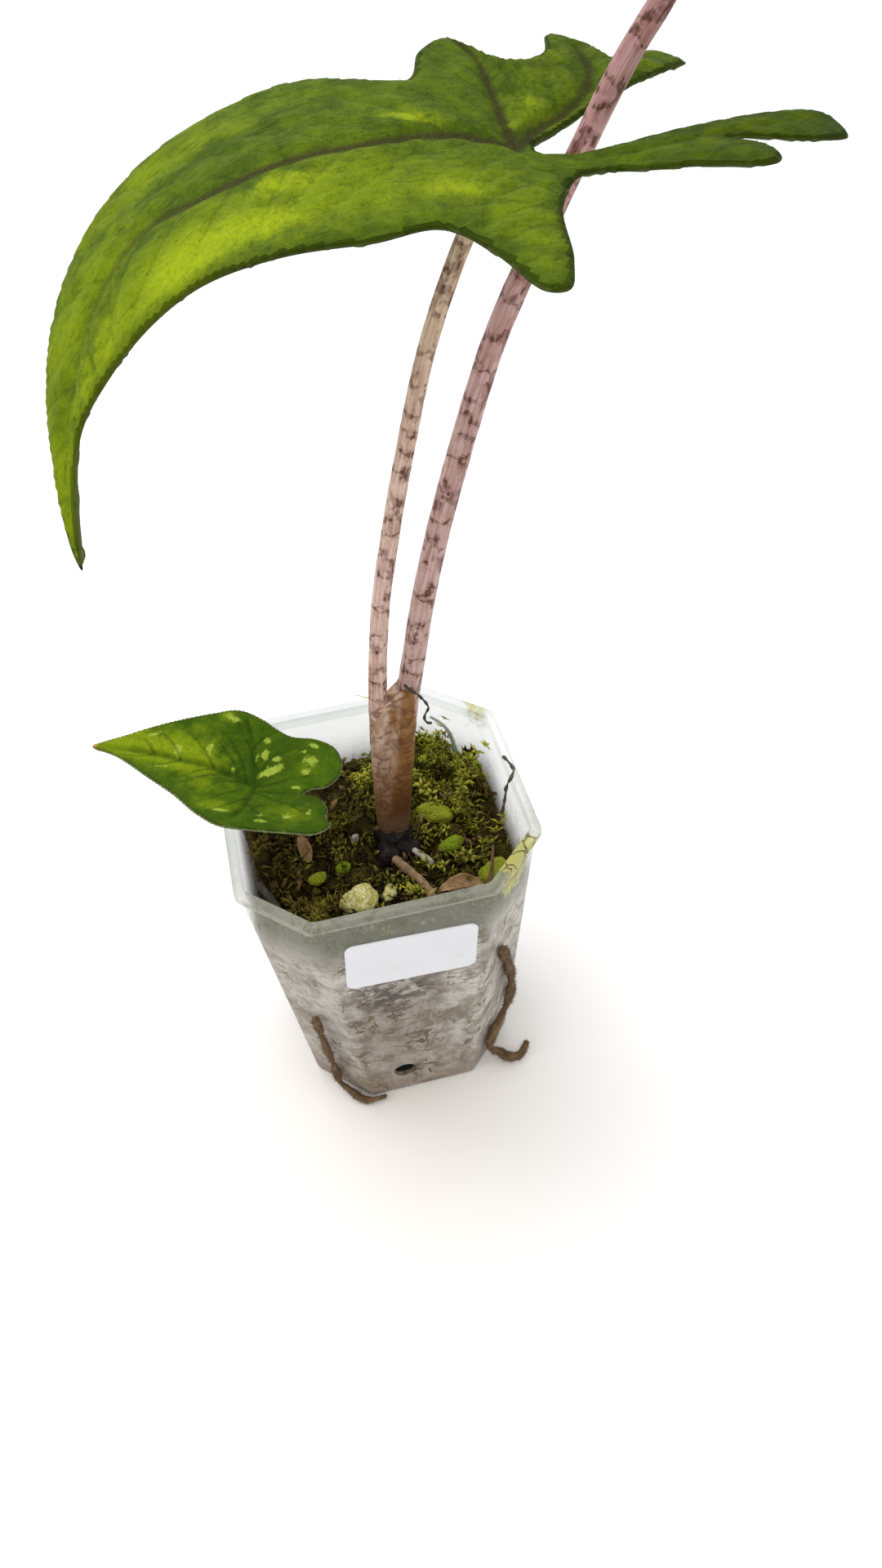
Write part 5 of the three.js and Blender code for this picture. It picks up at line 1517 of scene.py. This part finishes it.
# %% Where the yellow-green lies
LARGE_GLOW = [(22, -8.5, 15, 6.5, -3, 0.75), (42, -5.5, 16, 6.0, 8, 1.0), (4, -17, 5, 12, 0, 0.6),
              (10, -10, 9, 5, 0, 0.75), (-4, 8.5, 4.5, 4.5, 0, 0.6), (-12, 14, 7, 5, 0, 0.45), (10, 6, 5, 3, 5, 0.5),
              (50, 6, 14, 5, 0, 0.75), (64, 1, 9, 5, 0, 0.9), (34, 12, 12, 4, 0, 0.65), (20, 12, 8, 3, 0, 0.4),
              (-14, 18, 6, 4, 0, 0.5), (-18, -8, 12, 5, 0, 0.4), (-26, 15, 9, 5, 0, 0.45)]
LARGE_CREAM = [(31, -9.2, 6, 2.4, 12, 1.0), (38, -7.0, 6, 3.4, 15, 1.0), (24.7, -4.8, 5, 2.2, 8, 0.72),
               (10, 5.1, 2.6, 1.1, 5, 0.95), (9, -10.7, 3.0, 2.2, 0, 0.62), (52, -2, 9, 3.0, 10, 0.5),
               (-1.2, 6, 1.6, 1.6, 0, 0.6), (-6.2, 10, 1.8, 1.6, 0, 0.6)]
SMALL_GLOW = [(15, 2.8, 8, 3.8, 4, 1.15), (23, 2.2, 9, 3.6, 0, 1.1), (9, -2.2, 5, 2.6, -15, 0.5),
              (5, -6.6, 4, 1.8, 0, 0.6), (-7, 6.0, 3.0, 4.0, 0, 0.3), (12, 7, 5, 2.2, 20, 0.45),
              (9.5, 11.5, 3, 1.2, 0, 0.6), (-7, -6, 4.5, 2.6, 0, 0.5)]
SMALL_CREAM = [(-1.4, 3.5, 2.3, 0.85, 143, 1.25), (0.2, 2.5, 0.9, 0.5, 120, 1.1), (0.7, 6.3, 0.75, 1.1, -15, 1.15),
               (2.0, 5.4, 0.35, 1.0, 10, 0.95), (-1.6, 6.0, 0.9, 0.8, 0, 0.85), (-7.0, 3.9, 0.7, 0.9, 40, 1.0),
               (-7.2, 9.8, 1.1, 0.55, 20, 1.0), (-5.8, 8.2, 0.8, 0.4, 0, 0.8), (-7.2, 6.6, 1.4, 1.2, 0, 0.8),
               (-6.0, 0.7, 1.1, 0.45, 0, 0.85), (16.0, 3.6, 1.3, 0.9, 60, 0.95), (21.6, 4.8, 1.8, 0.6, -30, 0.8),
               (17.2, -0.6, 2.0, 0.3, -20, 0.7), (10.7, 5.2, 0.8, 1.7, 0, 0.75), (9.0, 11.6, 2.0, 0.7, 5, 0.85),
               (5.1, 2.6, 0.7, 0.7, 0, 0.7), (1.2, 9.0, 1.2, 0.7, 40, 0.8), (2.8, 13.4, 1.8, 0.6, 0, 0.75),
               (-3.4, -9.2, 1.4, 0.5, 0, 0.85), (-2.6, -7.6, 0.6, 0.6, 0, 0.8), (-6.8, -7.2, 0.9, 1.3, 0, 0.72),
               (-10.1, -5.6, 0.7, 0.9, 0, 0.75), (3.1, -7.8, 1.6, 0.5, 0, 0.75)]

# %% [markdown]
# The blades are a few tenths of a millimetre thick. Short white hairs stand on the
# leaves and make the soft edge seen against the light: they are scattered like the
# moss, a few to each square millimetre.

# %% Leaf pieces
leaf_hair = sprig("leaf_hair", 0.4, 0.035, 0.12, 2, 1.0)


def hair_white():
    f = Finish("leaf_down", Roughness=0.8, Specular_IOR_Level=0.05)
    f.give(Base_Color=f.blend(f.attribute("tone"), (0.12, 0.19, 0.012), (0.24, 0.33, 0.07)))
    return f


leaf_down = hair_white()
LARGE_SHAPE = dict(outline=LARGE_OUTLINE, ribs=LARGE_RIBS, veins=LARGE_VEINS, thick=0.6, puff=0.36, rib_half=0.62,
                   cream=LARGE_CREAM, glow=LARGE_GLOW)
large_mesh = blade_mesh("fuzzy_leaf_large", midrib=Midrib(LARGE_BEND, (22.3, -14.8, 160.8)), cell=0.62, **LARGE_SHAPE)
top_mesh = blade_mesh("fuzzy_leaf_top", midrib=Midrib(TOP_BEND, (50, -12, 189.4)), cell=0.75, scale=TOP_LEAF_SCALE,
                      **LARGE_SHAPE)
small_mesh = blade_mesh("young_leaf_small", SMALL_OUTLINE, SMALL_RIBS, SMALL_VEINS,
                        Midrib(SMALL_BEND, (-18, 0.6, 67)), thick=0.5, cell=0.33, puff=0.26, rib_half=0.25,
                        cream=SMALL_CREAM, glow=SMALL_GLOW, teeth=0.14)
for mesh, finish, slot, node, hairs, seed in (
    (large_mesh, large_green, "leaf", "leaf_large", 1.3, 21),
    (top_mesh, large_green, "leaf", "leaf_top", 1.0, 22),
    (small_mesh, young_green, "leaf_young", "leaf_small", 2.5, 23),
):
    leaf = show(mesh.name, mesh, [finish, leaf_down])
    grow(leaf, leaf_hair, leaf_down, per_mm2=hairs, where="hairy", sizes=(0.6, 1.2), lean=(0.5, 0.5, 3.1),
         seed=seed)
    register(leaf, slot, node)

# %% [markdown]
# ## Litter and roots
# Small dry things lie on the moss: an old stalk, a white stub, a twig, a strip of bark
# and two dead leaves. Brown roots run down two outside corners of the pot. Each is a
# tube or a crumpled sheet with bark-like lines along it.


# %% Dry finishes
def dry_finish(name, dark, mid, pale, grain=0.5, stretch=0.15, depth=0.15, roughness=0.8):
    """Bark, root or dry stalk: lines along the piece over blotches of three browns."""
    f = Finish(name, Roughness=roughness)
    stalk = f.attribute("stalk", "Vector")
    lines = f.cloud(f.stretched(stalk, (1, 1, stretch)), grain, 4, 0.65)
    blotch = f.cloud(f.place(), grain * 4, 4, 0.6)
    f.give(Base_Color=f.node("ShaderNodeValToRGB", {"stops": [(0.3, dark), (0.5, mid), (0.72, pale)]},
                             {"Fac": f.sum_of(lines * 0.55, blotch * 0.45)}))
    f.bump(f.sum_of(lines, f.cloud(f.place(), grain * 0.5, 3) * 0.5), depth)
    return f


stalk_tan = dry_finish("dry_stalk", (0.10, 0.045, 0.025), (0.26, 0.16, 0.085), (0.46, 0.34, 0.2))
stub_white = dry_finish("cut_stub", (0.25, 0.2, 0.15), (0.55, 0.5, 0.45), (0.72, 0.7, 0.68), 0.4)
twig_brown = dry_finish("twig", (0.05, 0.025, 0.012), (0.13, 0.07, 0.03), (0.24, 0.15, 0.07))
bark_dark = dry_finish("bark", (0.012, 0.010, 0.008), (0.05, 0.042, 0.032), (0.12, 0.10, 0.08))
root_brown = dry_finish("hairy_root", (0.055, 0.030, 0.012), (0.14, 0.082, 0.036), (0.27, 0.18, 0.095),
                        0.6, 0.3, 0.3, 0.95)
root_dark = dry_finish("wall_root", (0.025, 0.016, 0.01), (0.07, 0.05, 0.03), (0.18, 0.15, 0.06))
tendril_green = dry_finish("tendril", (0.16, 0.20, 0.14), (0.30, 0.34, 0.26), (0.44, 0.48, 0.40), 0.5, 0.2, 0.08, 0.5)
thread_black = dry_finish("black_thread", (0.004, 0.003, 0.003), (0.012, 0.009, 0.007), (0.06, 0.045, 0.03),
                          0.3, 0.5, 0.1, 0.5)
leaf_dry = dry_finish("dead_leaf", (0.13, 0.055, 0.02), (0.30, 0.18, 0.08), (0.48, 0.34, 0.19), 0.8, 0.5, 0.2)

# %% [markdown]
# All the long thin things are tubes along a few points. What tells them apart is how
# the radius runs: a stalk or twig thins evenly, and a root swells at every knot. The two
# outside roots follow the pot's corner walls and carry fuzz, which the table flattens.

# %% Bars, threads and roots
def on_wall(facing, along, z, clear):
    """A point just outside a wall that faces this way, in degrees."""
    half = across_at(z) / 2
    cut = round(facing / 45) % 2 != 0
    away = ((2 * half - chamfer_at(z)) / math.sqrt(2) if cut else half) + clear
    c, s = math.cos(math.radians(facing)), math.sin(math.radians(facing))
    return (away * c - along * s, away * s + along * c, z)


LEFT_ROOT = [on_wall(225, 0.9, 28, 1.3), on_wall(225, 0.7, 21, 1.35), on_wall(225, 0.6, 13, 1.35),
             on_wall(225, 0.6, 7, 1.35), (-15.3, -15.5, 2.2), (-13.9, -17.0, 1.2), (-11.1, -20.0, 1.1),
             (-7.4, -20.2, 1.1)]
RIGHT_ROOT = [on_wall(315, -2.6, 38, 1.1), on_wall(315, 1.3, 27, 1.2), on_wall(315, 3.3, 19, 1.2),
              on_wall(315, 2.6, 13.5, 1.2), on_wall(315, -1.2, 10, 1.2), on_wall(315, -2.6, 5, 1.2),
              (16.0, -17.2, 1.6), (17.6, -18.4, 1.15), (19.8, -18.4, 1.5), (21.3, -16.8, 2.6)]
INNER_ROOT = [(21.8, -1.9, 51.6), (22.3, -2.3, 56), (22.6, -2.9, 59.4), (23.3, -3.2, 61.3), (24.1, -1.5, 61.3),
              (23.7, 0.6, 61.2), (23.3, 2, 61.1)]
TENDRIL = [(17.8, 15, 51.8), (17.5, 14.6, 53.3), (17, 14.6, 56.3), (16.4, 14.6, 58.2), (15, 14.6, 60.5),
           (13.5, 14.6, 62.1)]
FILAMENT = [(6.6, -5.2, 87.1), (7.6, -5.3, 85.8), (8.8, -5.1, 84.2), (10, -4.8, 81.4), (9.5, -4.6, 80.1),
            (9.3, -4.5, 79), (9.8, -4.3, 77.9), (10.4, -4.3, 77.7)]
OLD_STALK = [(1.9, -6.0, 50.3), (3.5, -9.8, 51.1), (5.2, -13.2, 51.2), (6.2, -16.2, 50.6)]
WHITE_STUB = [(5.3, -4.9, 50.5), (6.5, -7.1, 50.9), (7.4, -8.9, 50.8)]
TWIG = [(15.2, -17.0, 50.7), (16.6, -14.4, 53.6), (17.6, -11.6, 55.0)]
BARK = [(-21.4, -5.2, 50.7), (-20.2, -8.4, 51.2), (-18.8, -11.4, 50.9)]


JUST_ABOVE_TABLE = 0.02


def rest_on_table(thing):
    """Fuzz under a root is flattened by the table: no point of the piece goes below it."""
    p = points_of(thing)
    p[:, 2] = np.maximum(p[:, 2], JUST_ABOVE_TABLE * MM)
    move_points(thing, p)


def knots(low, high, every):
    """A radius that swells and thins along a piece."""
    return lambda t: low + (high - low) * (0.5 + 0.5 * math.sin(t * every))


for name, node, slot, path, radius, finish, sides, count, wander in (
    ("old_leaf_stalk", "old_stalk", "dead_leaf", OLD_STALK, tapering(0.82, 0.52), stalk_tan, 24, 80, 0.22),
    ("cut_white_stub", "white_stub", "pale_stub", WHITE_STUB, tapering(0.45, 0.67), stub_white, 16, 30, 0.12),
    ("brown_twig", "twig", "bark", TWIG, tapering(0.42, 0.22), twig_brown, 12, 40, 0.25),
    ("bark_strip", "bark_stick", "bark", BARK, tapering(0.62, 0.47), bark_dark, 14, 40, 0.3),
    ("wall_root", "root_inner_wall", "root", INNER_ROOT, knots(0.16, 0.34, 33), root_dark, 10, 90, 0.5),
    ("green_tendril", "tendril", "tendril", TENDRIL, tapering(0.42, 0.22), tendril_green, 14, 60, 0.08),
    ("curled_thread", "filament", "filament", FILAMENT, knots(0.15, 0.26, 41), thread_black, 10, 150, 0.35),
):
    points, faces, values = tube(path, radius, sides, count, wander, 1.1, len(name))
    register(show(name, closed_mesh(name, points, faces, values), [finish]), slot, node)

root_hair = sprig("root_fuzz", 0.75, 0.06, 0.35, 2, 1.0)
for name, node, path, radius, seed in (
    ("fuzzy_root_left", "root_outside_left", LEFT_ROOT, knots(0.42, 0.75, 24), 31),
    ("fuzzy_root_right", "root_outside_right", RIGHT_ROOT, knots(0.55, 0.92, 30), 32),
):
    points, faces, values = tube(path, radius, 18, 150, 0.25, 1.4, seed)
    values["hairy"] = np.ones(len(points))
    root = show(name, closed_mesh(name, points, faces, values), [root_brown])
    grow(root, root_hair, root_brown, per_mm2=11, where="hairy", sizes=(0.35, 1.2), lean=(0.9, 0.9, 3.1), seed=seed)
    rest_on_table(root)
    register(root, "root", node)

# %% [markdown]
# A dead leaf has rolled up across its width and wrinkled as it dried. A cloth simulation
# could do this, but a grid with a folded cross section and a little noise is enough at
# this size, and it keeps its place on the moss. Two skins closed at the rim make it solid.

# %% Dead leaves
SHEET_ROWS, SHEET_COLS, SHEET_SKIN = 44, 18, 0.09


def crumpled_leaf(name, node, middle, length, width, turn, stand, shift):
    """A dry leaf that has curled up: a thin pointed sheet, folded and crumpled, closed at the rim."""
    rows, cols = SHEET_ROWS, SHEET_COLS
    grid = []
    for i in range(rows):
        t = i / (rows - 1)
        half = width * math.sin(math.pi * min(max(t * 0.96 + 0.02, 0), 1)) ** 0.7 + 0.02
        grid += [((t - 0.5) * length, (k / (cols - 1) * 2 - 1) * half, 0.0) for k in range(cols)]
    grid = np.array(grid)
    across = grid[:, 1] / width
    crease = rough(grid, 1.6, shift, 3)
    grid[:, 2] = 0.75 * across**2 * width + 0.5 * crease - 0.06 * grid[:, 0] ** 2 / length
    grid[:, 1] *= 1 - 0.25 * np.abs(across)
    spin = Matrix.Rotation(math.radians(turn), 3, "Z") @ Matrix.Rotation(math.radians(stand), 3, "Y")
    both = np.vstack([grid + (0, 0, SHEET_SKIN), grid - (0, 0, SHEET_SKIN)])
    points = np.array([spin @ Vector(p) for p in both]) + np.array(middle)
    n = rows * cols
    cells = [(i * cols + k, i * cols + k + 1, (i + 1) * cols + k + 1, (i + 1) * cols + k)
             for i in range(rows - 1) for k in range(cols - 1)]
    loop = ([k for k in range(cols)] + [i * cols + cols - 1 for i in range(1, rows)]
            + [n - 1 - k for k in range(1, cols)] + [i * cols for i in range(rows - 2, 0, -1)])
    faces = cells + [tuple(reversed([c + n for c in f])) for f in cells]
    ahead = loop[1:] + loop[:1]
    faces += [(far, near, near + n, far + n) for near, far in zip(loop, ahead)]
    stalk = np.vstack([grid[:, [1, 2, 0]]] * 2)
    return register(show(name, closed_mesh(name, points, faces, {"stalk": stalk}), [leaf_dry]), "dead_leaf", node)


crumpled_leaf("dead_leaf_at_rim", "dead_leaf_front", (11.0, -15.6, 51.3), 7.4, 1.9, -6, 0, 2.0)
crumpled_leaf("dead_leaf_by_leaf", "dead_leaf_left", (-12.8, 0.2, 51.0), 4.8, 1.5, 100, -35, 6.0)

# %% [markdown]
# ## Finish
# The shapes that were scattered have done their work and are removed.

# %% Removing the scattered shapes
for shape in SHAPES:
    bpy.data.objects.remove(shape)
